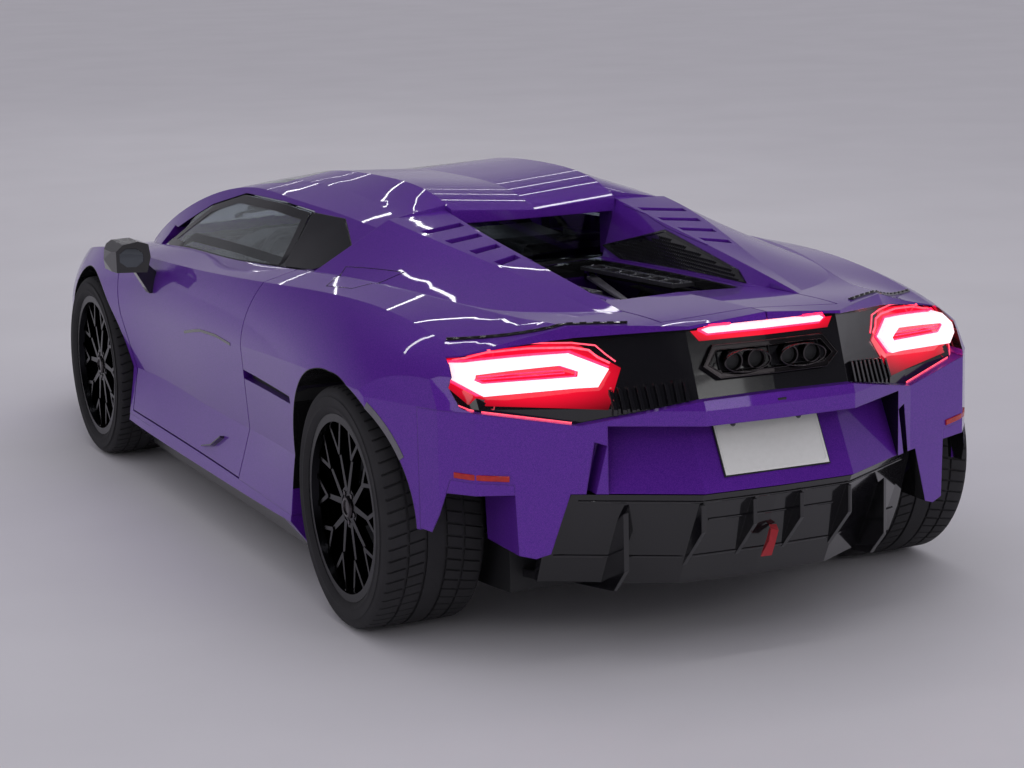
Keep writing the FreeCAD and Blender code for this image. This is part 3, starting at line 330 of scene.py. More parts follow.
def make_leather():
    """Black grained leather: its pebbles, 1.5 mm wide, are painted paler on top than in the creases between,
    as painted shade in the creases.
    """
    material, tree, place = new_finish("black_grained_leather")
    pebbles = add(tree, "TexVoronoi", {"Vector": place, "Scale": cells(1.54)})
    # Pebble tops paler than the creases between them: painted shade
    shader = add(tree, "BsdfPrincipled", {
        "Base Color": add(tree, "MixRGB", {"Fac": pebbles, "Color1": colour("#323035"),
                                           "Color2": colour("#1d1c1f")}),
        "Roughness": 0.52, "IOR": 1.48, "Sheen Weight": 0.15,
        "Normal": add(tree, "Bump", {"Strength": 0.5, "Distance": 0.0006, "Height": pebbles}),
    })
    add(tree, "OutputMaterial", {"Surface": shader})
    return material


def make_webbing():
    """Red nylon webbing, woven with ribs drawn 3 mm apart; the ribs are painted brighter than the gaps, as
    painted light on the ribs and painted shade in the gaps.
    """
    material, tree, place = new_finish("red_nylon_webbing")
    ribs = add(tree, "TexWave", {"Vector": place, "Scale": waves(3)}, bands_direction="Z").outputs["Fac"]
    # Ribs brighter than the gaps: painted light and shade of the weave
    shader = add(tree, "BsdfPrincipled", {
        "Base Color": add(tree, "MixRGB", {"Fac": ribs, "Color1": colour("#7a0c18"),
                                           "Color2": colour("#c81a2c")}),
        "Roughness": 0.8, "IOR": 1.53, "Sheen Weight": 0.3,
        "Normal": add(tree, "Bump", {"Strength": 0.6, "Distance": 0.0006, "Height": ribs}),
    })
    add(tree, "OutputMaterial", {"Surface": shader})
    return material


paint = make_paint()
gloss_black = make_gloss_black()
satin_black = make_satin_black()
window_glass = make_window_glass()
headlamp_lens = make_lens()
lit_ring = make_light("lit_white_acrylic", "#ffb9c6", "#ffeef2", 1.15)
lit_red = make_light("lit_red_acrylic", "#ff0a2c", "#ff2040", 5.0)
lit_rose = make_light("lit_rose_acrylic", "#ff3358", "#ff6a78", 1.3)
# Unlit white acrylic for the headlamp blades, given a faint painted glow
white_painted_glow = make_light("white_acrylic_painted_glow", "#d5dae0", "#f2f4f7", 0.25)
glow_lens = make_glow_lens()
rubber = make_rubber()
rim_black = make_metal("black_anodised_alloy", "#1d1d20", 0.2, 4, 0.04)
aluminium = make_metal("cast_aluminium", "#7d8083", 0.45, 3, 0.4)
bright_edge = make_metal("milled_aluminium_edge", "#b4b6b9", 0.25, 2, 0.1)
steel = make_metal("brushed_steel", "#6c6f73", 0.32, 2, 0.2)
dark_chrome = make_metal("dark_chromed_steel", "#4a4648", 0.16, 10, 0.05)
mirror_silver = make_metal("dimmed_mirror_glass", "#5d6166", 0.08, 50, 0.0)
white_enamel = make_enamel("white_plate_enamel", "#f1f1ee", "#e6e6e2", 0.35)
red_reflector = make_enamel("red_reflector_acrylic", "#d62a1c", "#8c1010", 0.2)
grey_lacquer = make_enamel("grey_magnesium_lacquer", "#77747c", "#5c5a62", 0.4)
dark_lacquer = make_enamel("dark_magnesium_lacquer", "#3c3b40", "#2a292d", 0.4)
dark_display = make_enamel("black_display_glass", "#0d1014", "#08090b", 0.06)
pale_thread = make_enamel("violet_stitching_thread", "#7a55c4", "#5e3da6", 0.7)
leather = make_leather()
webbing = make_webbing()
front_iron = make_turned_iron("turned_front_disc_iron", "front_left")
rear_iron = make_turned_iron("turned_rear_disc_iron", "rear_left")

FINISHES = {
    "body_paint": paint, "black_trim": gloss_black, "black_satin": satin_black, "window_glass": window_glass,
    "lamp_lens": headlamp_lens, "lamp_red": lit_ring, "plate_white": white_enamel, "tyre_rubber": rubber,
    "rim_black": rim_black, "disc_iron": rear_iron, "bare_aluminium": aluminium, "steel": steel,
    "seat_leather": leather,
}
OWN_FINISHES = {
    "engine_grille": dark_lacquer, "exhaust_tips": dark_chrome, "engine": satin_black, "seats": satin_black,
    "brake_disc_front_left": front_iron, "brake_disc_front_right": front_iron,
}


def finish_solids():
    """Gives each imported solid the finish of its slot, or its own."""
    for part in frame["record"]["subparts"]:
        mesh = nodes[part["node"]].data
        mesh.materials.clear()
        mesh.materials.append(OWN_FINISHES.get(part["node"], FINISHES[part["material_slot"]]))


# Mesh tools


def finish_piece(name, bm, material, body, crease=35.0):
    """Makes a piece of the mesh, smooth but where its faces meet at more than crease degrees, on a body."""
    bmesh.ops.recalc_face_normals(bm, faces=bm.faces)
    mesh = bpy.data.meshes.new(name)
    bm.to_mesh(mesh)
    bm.free()
    mesh.materials.append(material)
    mesh.shade_smooth()
    mesh.set_sharp_from_angle(angle=math.radians(crease))
    piece = bpy.data.objects.new(name, mesh)
    scene.collection.objects.link(piece)
    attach(piece, body)
    return piece


def add_mirror_image(bm):
    """Adds the mirror image across the car's middle of what the mesh holds."""
    copied = bmesh.ops.duplicate(bm, geom=bm.verts[:] + bm.edges[:] + bm.faces[:])["geom"]
    for item in copied:
        if isinstance(item, bmesh.types.BMVert):
            item.co.x = -item.co.x


def join_rings(bm, rings, closed=False):
    """Faces between each ring of points and the next, and if closed from the last to the first."""
    for here, there in zip(rings, rings[1:] + rings[:1] if closed else rings[1:]):
        for k in range(len(here)):
            n = (k + 1) % len(here)
            bm.faces.new((here[k], here[n], there[n], there[k]))


def close_ends(bm, rings):
    """Faces over the first and the last ring."""
    bm.faces.new(rings[0][::-1])
    bm.faces.new(rings[-1])


def sweep(bm, path, profile, up, closed=False):
    """Carries a closed profile of (across, out) points along a path. up points outwards, at each point."""
    rings = []
    count = len(path)
    for k, point in enumerate(path):
        before = path[k - 1] if k or closed else point
        after = path[(k + 1) % count] if k < count - 1 or closed else point
        come = (point - before).normalized()
        go = (after - point).normalized()
        along = (come + go).normalized()
        widen = 1 / max(0.6, come.dot(along)) if come.length and go.length else 1.0
        across = along.cross(up[k]).normalized()
        out = across.cross(along)
        rings.append([bm.verts.new(point + across * u * widen + out * v) for u, v in profile])
    join_rings(bm, rings, closed)
    if not closed:
        close_ends(bm, rings)


def around(count, start=0.0):
    """Angles of equal steps round a circle, the first of them start steps on."""
    return [math.tau * (k + start) / count for k in range(count)]


def round_bar(radius, steps=8):
    """Profile of a round bar."""
    return [(radius * math.cos(turn), radius * math.sin(turn)) for turn in around(steps)]


def flat_strip(width, proud, sunk=0.002):
    """Profile of a strip with chamfered edges, standing proud of the skin."""
    half = width / 2
    bevel = min(proud, width) * 0.3
    return [(-half, -sunk), (half, -sunk), (half, proud - bevel), (half - bevel, proud),
            (bevel - half, proud), (-half, proud - bevel)]


def skin(*names):
    """A search tree over the named solids' surfaces."""
    bm = bmesh.new()
    for name in names:
        bm.from_mesh(nodes[name].data)
    tree = BVHTree.FromBMesh(bm)
    bm.free()
    return tree


def drop(tree, point, toward, reach=0.5):
    """Where a point lands on a skin when it is carried in one direction, and the normal there."""
    found, normal = tree.ray_cast(point - toward * reach, toward, 2 * reach)[:2]
    if found is None:
        found, normal = tree.find_nearest(point)[:2]
    return found, (normal if normal.dot(toward) < 0 else -normal)


def lay(tree, corners, toward, closed=False, step=0.03, reach=0.12):
    """Points along the line of corners, dropped onto a skin in one direction, and its normals there."""
    ends = [Vector(c) for c in corners]
    if closed:
        ends.append(ends[0])
    stops = []
    for a, b in zip(ends, ends[1:]):
        count = max(1, round((b - a).length / step))
        stops += [a.lerp(b, k / count) for k in range(count)]
    if not closed:
        stops.append(ends[-1])
    path, normals = [], []
    for stop in stops:
        found, normal = drop(tree, stop, toward, reach)
        path.append(found)
        normals.append(normal)
    return path, normals


def strip(bm, tree, corners, toward, width, proud, closed=False, step=0.03, reach=0.12):
    """A thin strip that follows a skin."""
    path, normals = lay(tree, corners, toward, closed, step, reach)
    sweep(bm, path, flat_strip(width, proud), normals, closed)


def plate(bm, outline, depth, bevel=0.0):
    """A flat form from its outline, as thick as the vector depth, its edges rounded by bevel."""
    near = [bm.verts.new(p) for p in outline]
    far = [bm.verts.new(Vector(p) + depth) for p in outline]
    faces = [bm.faces.new(near[::-1]), bm.faces.new(far)]
    for k in range(len(near)):
        n = (k + 1) % len(near)
        faces.append(bm.faces.new((near[k], near[n], far[n], far[k])))
    if bevel:
        edges = list(dict.fromkeys(edge for face in faces for edge in face.edges))
        bmesh.ops.bevel(bm, geom=edges, offset=bevel, segments=2, profile=0.6, affect="EDGES",
                        clamp_overlap=True)


def brick(bm, low, high, bevel):
    """A block with rounded edges between two corners."""
    (x0, y0, z0), (x1, y1, z1) = low, high
    plate(bm, [(x0, y0, z0), (x1, y0, z0), (x1, y1, z0), (x0, y1, z0)], UP * (z1 - z0), bevel)


def lathe(bm, profile, centre, axis, steps=40):
    """Profile of (along, radius) points turned about an axis, closed at its ends."""
    side = axis.orthogonal().normalized()
    other = axis.cross(side)
    rings = []
    for along, radius in profile:
        ring = []
        for turn in around(steps):
            outward = side * math.cos(turn) + other * math.sin(turn)
            ring.append(bm.verts.new(Vector(centre) + axis * along + outward * radius))
        rings.append(ring)
    join_rings(bm, rings)
    close_ends(bm, rings)


def bolt_head(bm, centre, radius):
    """Six-sided bolt head on a washer, facing up."""
    lathe(bm, [(-0.002, radius * 1.4), (0.001, radius * 1.4), (0.0015, radius * 1.2)], centre, UP, 20)
    lathe(bm, [(0.0015, radius), (radius * 0.8, radius), (radius, radius * 0.8)], centre, UP, 6)


def inside_outline(outline, u, v):
    """Whether a point lies inside an outline."""
    hit = False
    for (ua, va), (ub, vb) in zip(outline, outline[1:] + outline[:1]):
        if (va > v) != (vb > v) and u < ua + (v - va) * (ub - ua) / (vb - va):
            hit = not hit
    return hit


def honeycomb(outline, start, pitch, columns, rows):
    """Middles of six-sided cells inside an outline, in rows from start, each second row half a cell on."""
    for i in range(columns):
        for j in range(rows):
            u = start[0] + i * pitch + (pitch / 2 if j % 2 else 0)
            v = start[1] + j * pitch * math.sqrt(3) / 2
            if inside_outline(outline, u, v):
                yield u, v


# Wheels


def rim_radius(name):
    """Outer radius of a wheel's packed rim."""
    low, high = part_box("rim_" + name)
    return (high.z - low.z) / 2


def make_tyre(name):
    """Tyre with four grooves round it, slanted blocks, and ringed sidewalls."""
    centre, width, radius = wheel_size(name)
    half = width / 2
    tread = half - 0.024
    bead = rim_radius(name) + 0.0003
    pitches, groove_half, groove_depth, cut_depth = 62, 0.0045, 0.007, 0.006
    edge_drop, clearance, block_slant = 0.003, 0.0002, 0.9
    # Rings of a sidewall: how far each lies in from the side, and over the bead or under the tread
    over_bead = ((0.014, 0.0), (0.005, 0.008), (0.0005, 0.02), (0.003, 0.026), (0.0015, 0.034),
                 (0.0005, 0.05))
    under_tread = ((0.0015, 0.034), (0.004, 0.030), (0.004, 0.024), (0.009, 0.013), (0.016, 0.007))
    side = [(half - inset, bead + height, False) for inset, height in over_bead]
    side += [(half - inset, radius - depth, False) for inset, depth in under_tread]
    profile = [(-w, r, b) for w, r, b in side]
    edges = [-tread]
    for share in (-0.62, -0.22, 0.22, 0.62):
        edges += [share * tread - groove_half, share * tread + groove_half]
    edges.append(tread)
    for k in range(0, len(edges), 2):
        for share in (0.0, 0.5, 1.0):
            w = edges[k] + (edges[k + 1] - edges[k]) * share
            profile.append((w, radius - edge_drop * (w / tread) ** 2 - clearance, True))
        if k + 2 < len(edges):
            for w in (edges[k + 1] + 0.001, edges[k + 2] - 0.001):
                profile.append((w, radius - groove_depth, False))
    profile += side[::-1]
    bm = bmesh.new()
    rings = []
    for p in range(pitches):
        for share, cut in ((0.0, False), (0.8, False), (0.84, True), (0.96, True)):
            ring = []
            for w, r, block in profile:
                slant = block_slant * min(abs(w) / tread, 1.0) * math.tau / pitches
                turn = math.tau * (p + share) / pitches + slant
                shoulder = abs(w) > 0.25 * tread
                depth = cut_depth if cut and block and shoulder else 0.0
                at = Vector((w, (r - depth) * math.sin(turn), (r - depth) * math.cos(turn)))
                ring.append(bm.verts.new(centre + at))
            rings.append(ring)
    join_rings(bm, rings, True)
    piece = finish_piece("tread_tyre_" + name, bm, rubber, "wheel_" + name, 40)
    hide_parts("tyre_" + name)


def make_wheel_trim(name):
    """Hub cap, five wheel bolts and the valve, on the outer face."""
    centre, width = wheel_size(name)[:2]
    outward = LEFT if centre.x > 0 else RIGHT
    face = centre + outward * (width / 2 - 0.034)
    bolt_circle, valve_length = 0.046, 0.026
    bm = bmesh.new()
    cap = [(-0.01, 0.034), (0.004, 0.034), (0.009, 0.030), (0.010, 0.022), (0.006, 0.020)]
    lathe(bm, cap, face, outward, 48)
    for turn in around(5, 0.5):
        spot = face + Vector((0, math.sin(turn), math.cos(turn))) * bolt_circle
        lathe(bm, [(-0.008, 0.009), (0.002, 0.009), (0.003, 0.0075)], spot, outward, 6)
    foot = centre + outward * (width / 2 - 0.04) + DOWN * (rim_radius(name) - valve_length - 0.004)
    lathe(bm, [(0, 0.004), (0.022, 0.004), (valve_length, 0.003)], foot, outward, 12)
    finish_piece("hub_cap_and_bolts_" + name, bm, dark_chrome, "wheel_" + name)


def make_caliper_cover(name):
    """Outer face of the brake caliper, with its bridge bolts, seen between the spokes."""
    centre = wheel_size(name)[0]
    low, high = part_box("brake_disc_" + name)
    disc = (high.z - low.z) / 2
    front = name.startswith("front")
    towards = 1 if front else -1
    outward = LEFT if centre.x > 0 else RIGHT
    steps, spread, bolt_turn, face = 10, 21, 14, 0.0515
    bm = bmesh.new()
    points = []
    for r, order in ((disc + 0.018, range(steps + 1)), (disc - 0.072, range(steps, -1, -1))):
        for k in order:
            turn = math.radians(-spread + 2 * spread * k / steps)
            round_hub = Vector((0, towards * r * math.cos(turn), r * math.sin(turn)))
            points.append(centre + outward * face + round_hub)
    plate(bm, points, outward * 0.006, 0.002)
    for angle in (-bolt_turn, bolt_turn):
        turn = math.radians(angle)
        spot = Vector((0, towards * math.cos(turn), math.sin(turn))) * (disc - 0.03)
        bolt = centre + outward * (face + 0.0045) + spot
        lathe(bm, [(0, 0.019), (0.008, 0.019), (0.012, 0.014)], bolt, outward, 28)
    body = name + "_knuckle" if front else "chassis"
    finish_piece("caliper_cover_" + name, bm, satin_black, body)


# Tail, its outlines as (x, z) corners of the left half, seen from behind


LAMP_OUTER = [(0.438, 0.847), (0.514, 0.882), (0.798, 0.852), (0.815, 0.818), (0.760, 0.780), (0.474, 0.800)]
LAMP_INNER = [(0.502, 0.836), (0.550, 0.854), (0.765, 0.834), (0.775, 0.822), (0.746, 0.807), (0.507, 0.822)]
LAMP_SMOKED = [(0.402, 0.846), (0.496, 0.912), (0.812, 0.866), (0.830, 0.806), (0.788, 0.752), (0.455, 0.738)]
LAMP_MIDDLE = (0.638, 0.829)
LAMP_RECESS = [(0.236, 0.766), (0.535, 0.698), (0.796, 0.738), (0.822, 0.750), (0.834, 0.800)]
LINE_ABOVE = [(0.410, 0.862), (0.430, 0.882), (0.447, 0.903), (0.500, 0.908), (0.590, 0.903), (0.700, 0.888),
              (0.770, 0.872)]
LINE_OVER_RING = [(0.424, 0.858), (0.448, 0.872), (0.464, 0.890), (0.500, 0.896), (0.600, 0.890),
                  (0.700, 0.877), (0.785, 0.858)]
BRAKE_BAR = [(0.178, 0.931), (0.199, 0.945), (0.178, 0.959)]
BRAKE_BAR_FOOT = [(0.0, 0.934), (0.190, 0.934), (0.198, 0.944)]
BRAKE_BAR_GLOW = [(0.0, 0.916), (0.205, 0.916), (0.226, 0.944)]
HEXAGON = [(0.168, 0.818), (0.212, 0.852), (0.174, 0.903)]
HEXAGON_HOLE = [(0.160, 0.830), (0.196, 0.853), (0.166, 0.891)]
OUTLETS = (0.052, 0.124)
OUTLET_PAIR = sum(OUTLETS) / 2
OUTLET_HEIGHT = 0.860
DECK_EDGE = [(0.36, 2.120, 0.968), (0.53, 1.996, 0.932), (0.66, 1.878, 0.906), (0.765, 1.790, 0.895)]
DECK_STRIP_HEIGHT = 0.004
TAIL_Y = 2.2


def on_tail(points, y=TAIL_Y):
    """(x, z) places near the tail, as points to be dropped onto it."""
    return [Vector((x, y, z)) for x, z in points]


def tail_strip(bm, tree, points, width, proud, closed=False):
    """A thin strip laid onto the tail from behind."""
    strip(bm, tree, on_tail(points), FORWARD, width, proud, closed, reach=0.5)


def both_halves(points):
    """An outline round the car's middle, from the points of its left half."""
    return [(-x, z) for x, z in points[::-1]] + points


def grown(outline, by):
    """An outline of (x, z) corners, each moved out from the middle by the given distance."""
    cx = sum(x for x, z in outline) / len(outline)
    cz = sum(z for x, z in outline) / len(outline)
    out = []
    for x, z in outline:
        away = Vector((x - cx, z - cz)).normalized() * by
        out.append((x + away.x, z + away.y))
    return out


def tail_skin():
    """The skin that the left lamp and the light lines lie on."""
    return skin("tail_panel", "quarter_left", "rear_bumper")


def make_red_light_guides():
    """Thin red light guides round and inside each lamp ring, and round the brake bar."""
    lamps = tail_skin()
    bm = bmesh.new()
    tail_strip(bm, lamps, grown(LAMP_OUTER, 0.006), 0.007, 0.005, True)
    tail_strip(bm, lamps, grown(LAMP_INNER, -0.005), 0.005, 0.005, True)
    for z in (0.829, 0.836):
        tail_strip(bm, lamps, [(0.535, z + 0.002), (0.752, z - 0.012)], 0.0035, 0.003)
    tail_strip(bm, lamps, both_halves(BRAKE_BAR), 0.006, 0.003, True)
    add_mirror_image(bm)
    finish_piece("red_light_guides", bm, lit_red, "chassis")


def make_rose_light_lines():
    """Thin rose lines over each lamp ring and along the foot of its recess."""
    lamps = tail_skin()
    bm = bmesh.new()
    tail_strip(bm, lamps, LINE_ABOVE, 0.004, 0.003)
    tail_strip(bm, lamps, LINE_OVER_RING, 0.006, 0.003)
    tail_strip(bm, lamps, grown(LAMP_RECESS, -0.008)[1:], 0.004, 0.002)
    add_mirror_image(bm)
    finish_piece("rose_light_lines", bm, lit_rose, "chassis")


def fan(bm, panel, inner, outer, layers):
    """A sheet between two outlines of (x, z) corners, laid on the panel from behind."""
    rings = []
    for layer in range(layers + 1):
        share = layer / layers
        ring = []
        for (xi, zi), (xo, zo) in zip(inner, outer):
            start = Vector((xi + (xo - xi) * share, TAIL_Y, zi + (zo - zi) * share))
            ring.append(bm.verts.new(drop(panel, start, FORWARD)[0] + BACKWARD * 0.0015))
        rings.append(ring)
    join_rings(bm, rings)


def dense(outline, parts=8):
    """The outline with each of its edges cut into equal parts."""
    points = []
    for (xa, za), (xb, zb) in zip(outline, outline[1:] + outline[:1]):
        points += [(xa + (xb - xa) * k / parts, za + (zb - za) * k / parts) for k in range(parts)]
    return points


def make_glow_lenses():
    """Smoked lens sheets outside and inside the lamp rings and under the brake bar, laid on the tail."""
    panel = skin("tail_panel")
    gap = 0.001
    bm = bmesh.new()
    fan(bm, panel, dense(grown(LAMP_OUTER, gap)), dense(LAMP_SMOKED), 4)
    inside = dense(grown(LAMP_INNER, -gap))
    fan(bm, panel, [LAMP_MIDDLE] * len(inside), inside, 3)
    fan(bm, panel, dense(BRAKE_BAR_FOOT), dense(BRAKE_BAR_GLOW), 2)
    bmesh.ops.remove_doubles(bm, verts=bm.verts, dist=0.0001)
    add_mirror_image(bm)
    finish_piece("glowing_lamp_lenses", bm, glow_lens, "chassis")


def make_exhaust_outlines():
    """Thin outlines round the exhaust's hexagon and round its two pairs of outlets."""
    panel = skin("tail_panel", "exhaust_tips")
    bm = bmesh.new()
    tail_strip(bm, panel, both_halves(HEXAGON), 0.004, 0.003, True)
    tail_strip(bm, panel, both_halves(HEXAGON_HOLE), 0.003, 0.003, True)
    for side in SIDES:
        oval = [(side * OUTLET_PAIR + 0.072 * math.cos(a), OUTLET_HEIGHT + 0.031 * math.sin(a))
                for a in around(28)]
        sweep(bm, on_tail(oval, 2.312), flat_strip(0.004, 0.004), [BACKWARD] * len(oval), True)
    finish_piece("exhaust_outlines", bm, dark_chrome, "chassis")


def make_outlet_shade_plugs():
    """Dark plug a little way inside each of the four outlets: painted shade for the dark deep in the bores.
    """
    plug = [(0, 0.0235), (0.004, 0.0235), (0.004, 0.020), (0.002, 0.018)]
    bm = bmesh.new()
    for x in (-OUTLETS[1], -OUTLETS[0], OUTLETS[0], OUTLETS[1]):
        lathe(bm, plug, (x, 2.282, OUTLET_HEIGHT), BACKWARD, 32)
    # The satin black plugs paint the shade deep inside the outlets
    finish_piece("outlet_shade_plugs", bm, satin_black, "chassis")


def make_exhaust_grille():
    """Rails over and under the outlets, and upright bars beside them, inside the hexagon."""
    panel = skin("tail_panel", "exhaust_tips")
    bm = bmesh.new()
    for line in ([(0.012, 0.888), (0.158, 0.888)], [(0.012, 0.832), (0.150, 0.832)]):
        tail_strip(bm, panel, line, 0.003, 0.008)
    add_mirror_image(bm)
    for k in range(9):
        x = -0.16 + 0.04 * k
        if abs(abs(x) - OUTLET_PAIR) >= 0.07:
            tail_strip(bm, panel, [(x, 0.834), (x, 0.888)], 0.003, 0.006)
    finish_piece("exhaust_grille_bars", bm, satin_black, "chassis")


def make_deck_strip():
    """Black strip along the deck's rear edge."""
    bm = bmesh.new()
    strip(bm, skin("quarter_left", "tail_panel"), DECK_EDGE, DOWN, 0.016, DECK_STRIP_HEIGHT, step=0.02)
    add_mirror_image(bm)
    finish_piece("deck_edge_slots", bm, gloss_black, "chassis")


def make_deck_ribs():
    """Short bright ribs on the strip along the deck's rear edge."""
    bm = bmesh.new()
    path, normals = lay(skin("quarter_left", "tail_panel"), DECK_EDGE, DOWN, step=0.02)
    for k in range(0, len(path) - 1, 2):
        raised = [path[n] + normals[n] * DECK_STRIP_HEIGHT for n in (k, k + 1)]
        sweep(bm, raised, flat_strip(0.004, 0.003), normals[k:k + 2])
    add_mirror_image(bm)
    finish_piece("deck_edge_ribs", bm, dark_chrome, "chassis")


PLATE_HALF_WIDTH = 0.165
PLATE_HALF_HEIGHT = 0.0825
QUARTERS = ((-1, -1), (1, -1), (1, 1), (-1, 1))


def plate_place():
    """The number plate's centre, the way it faces, and the way up it."""
    low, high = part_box("number_plate")
    tilt = Matrix.Rotation(math.radians(29.5), 3, "X")
    return (low + high) / 2, tilt @ BACKWARD, tilt @ UP


def make_plate_rim():
    """Raised rim with round corners, near the edge of the blank plate."""
    centre, out, up = plate_place()
    inset, corner, rim_lift = 0.006, 0.012, 0.0018
    rim_width, rim_height = PLATE_HALF_WIDTH - inset, PLATE_HALF_HEIGHT - inset

    def bearing(p):
        return math.atan2((p - centre).dot(up) / rim_height, (p - centre).dot(LEFT) / rim_width)

    loop = []
    for sx, sz in QUARTERS:
        middle = centre + LEFT * sx * (rim_width - corner) + up * sz * (rim_height - corner) + out * rim_lift
        for turn in range(4):
            angle = math.atan2(sz, sx) + math.radians(-45 + 30 * turn)
            loop.append(middle + LEFT * corner * math.cos(angle) + up * corner * math.sin(angle))
    loop.sort(key=bearing)
    bm = bmesh.new()
    sweep(bm, loop, flat_strip(0.0035, 0.0014, 0.001), [out] * len(loop), True)
    finish_piece("plate_raised_rim", bm, white_enamel, "chassis")


def make_plate_bolts():
    """Two bolts that hold the plate near its upper edge."""
    centre, out, up = plate_place()
    bm = bmesh.new()
    for x in (-0.105, 0.105):
        spot = centre + LEFT * x + up * 0.062 + out * 0.0015
        lathe(bm, [(0, 0.008), (0.003, 0.008), (0.004, 0.006)], spot, out, 24)
    finish_piece("plate_bolts", bm, steel, "chassis")


def make_plate_holder():
    """Black holder behind the plate, showing as a thin border."""
    centre, out, up = plate_place()
    border = 0.004
    half_width, half_height = PLATE_HALF_WIDTH + border, PLATE_HALF_HEIGHT + border
    corners = [centre + LEFT * sx * half_width + up * sz * half_height - out * 0.004 for sx, sz in QUARTERS]
    bm = bmesh.new()
    plate(bm, corners, out * 0.0035, 0.001)
    finish_piece("plate_holder", bm, satin_black, "chassis")


def make_diffuser_steps():
    """Rounded steps across the diffuser."""
    face = skin("diffuser")
    bm = bmesh.new()
    for z, half in ((0.478, 0.53), (0.418, 0.20), (0.300, 0.56)):
        corners = on_tail([(half * share, z) for share in (-1, -0.45, 0, 0.45, 1)], 2.25)
        path, normals = lay(face, corners, FORWARD, reach=0.5)
        sweep(bm, path, round_bar(0.004), normals)
    finish_piece("diffuser_steps", bm, gloss_black, "chassis")


def make_towing_strap():
    """Red strap hanging in a turned loop: places from its top, and where its broad side faces at each."""
    top = drop(skin("diffuser"), Vector((-0.014, TAIL_Y, 0.372)), FORWARD)[0]
    turns = (((0, 0.002, 0), (0, 0.2, 1)), ((0.003, 0.018, -0.012), (0, 1, 0.6)),
             ((0.014, 0.022, -0.045), (0, 1, 0)), ((0.027, 0.012, -0.085), (0, 0.6, -1)),
             ((0.023, 0.004, -0.072), (0, -1, 0)), ((0.012, 0.008, -0.040), (0, -1, 0)),
             ((0.003, 0.006, -0.012), (0, -1, 0)))
    half_width, half_thick = 0.011, 0.001
    flat = [(-half_width, -half_thick), (half_width, -half_thick), (half_width, half_thick),
            (-half_width, half_thick)]
    bm = bmesh.new()
    sweep(bm, [top + Vector(place) for place, out in turns], flat,
          [Vector(out).normalized() for place, out in turns])
    finish_piece("towing_strap", bm, webbing, "chassis")


def make_rear_reflectors():
    """Flat reflector low on each side of the tail."""
    bm = bmesh.new()
    tail_strip(bm, skin("quarter_left", "rear_bumper"), [(0.712, 0.552), (0.838, 0.560)], 0.016, 0.004)
    add_mirror_image(bm)
    finish_piece("rear_reflectors", bm, red_reflector, "chassis")


def make_rear_camera():
    """Small camera housing under the hexagon."""
    bm = bmesh.new()
    spot = drop(skin("rear_bumper"), Vector((0, TAIL_Y, 0.745)), FORWARD)[0]
    brick(bm, spot + Vector((-0.014, -0.010, -0.009)), spot + Vector((0.014, -0.001, 0.009)), 0.003)
    finish_piece("rear_camera", bm, gloss_black, "chassis")


# Valley with the open engine


MESH_PANEL = [(0.734, 0.952), (1.097, 1.046), (1.598, 0.985), (1.697, 0.945), (1.255, 0.925), (0.920, 0.915)]


def drawn_in(outline, across, up):
    """An outline drawn in towards its middle by two shares."""
    cu = sum(u for u, v in outline) / len(outline)
    cv = sum(v for u, v in outline) / len(outline)
    return [(cu + (u - cu) * across, cv + (v - cv) * up) for u, v in outline]


def make_perforated_sheets():
    """Sheets with six-sided holes, 8 mm wide and 12 mm apart, on the buttresses' inner walls."""
    wall = skin("black_trims")
    pitch, hole, thick = 0.012, 0.0042, 0.0025
    bm = bmesh.new()
    for y, z in honeycomb(drawn_in(MESH_PANEL, 0.9, 0.74), (0.70, 0.905), pitch, 84, 14):
        found = wall.ray_cast(Vector((0.05, y, z)), LEFT, 0.4)[0]
        if found is None:
            continue
        rings = []
        for radius, lift in ((pitch / math.sqrt(3), thick), (hole, thick), (hole, 0.0002)):
            corners = [(y + radius * math.cos(t), z + radius * math.sin(t)) for t in around(6, 0.5)]
            rings.append([bm.verts.new((found.x - lift, *corner)) for corner in corners])
        join_rings(bm, rings)
    bmesh.ops.remove_doubles(bm, verts=bm.verts, dist=0.0004)
    add_mirror_image(bm)
    finish_piece("perforated_sheets", bm, satin_black, "chassis")


def make_sheet_rims():
    """Glossy rims round the perforated sheets."""
    rim = [Vector((0.25, y, z)) for y, z in drawn_in(MESH_PANEL, 0.985, 0.93)]
    bm = bmesh.new()
    strip(bm, skin("black_trims"), rim, LEFT, 0.006, 0.003, True, reach=0.2)
    add_mirror_image(bm)
    finish_piece("perforated_sheet_rims", bm, gloss_black, "chassis")


def smooth_path(points, parts):
    """A curve through the points, cut into the given number of parts between each two."""
    curve = []
    for k in range(len(points) - 1):
        a, b = points[k], points[k + 1]
        before, after = points[max(k - 1, 0)], points[min(k + 2, len(points) - 1)]
        for s in range(parts):
            t = s / parts
            curve.append(0.5 * (2 * a + (b - before) * t + (2 * before - 5 * a + 4 * b - after) * t ** 2
                                + (3 * a - before - 3 * b + after) * t ** 3))
    curve.append(points[-1])
    return curve


def make_plenum_ribs():
    """Six ribs round each plenum, and cooling ribs on the cover between them."""
    rib = [(-0.006, 0.0635), (-0.004, 0.068), (0.004, 0.068), (0.006, 0.0635)]
    bm = bmesh.new()
    for k in range(6):
        lathe(bm, rib, (0.105, 0.90 + 0.075 * k, 0.770), BACKWARD, 40)
    for k in range(7):
        y = 0.86 + 0.055 * k
        brick(bm, (0.004, y, 0.716), (0.036, y + 0.025, 0.742), 0.003)
    add_mirror_image(bm)
    finish_piece("plenum_ribs", bm, aluminium, "chassis")


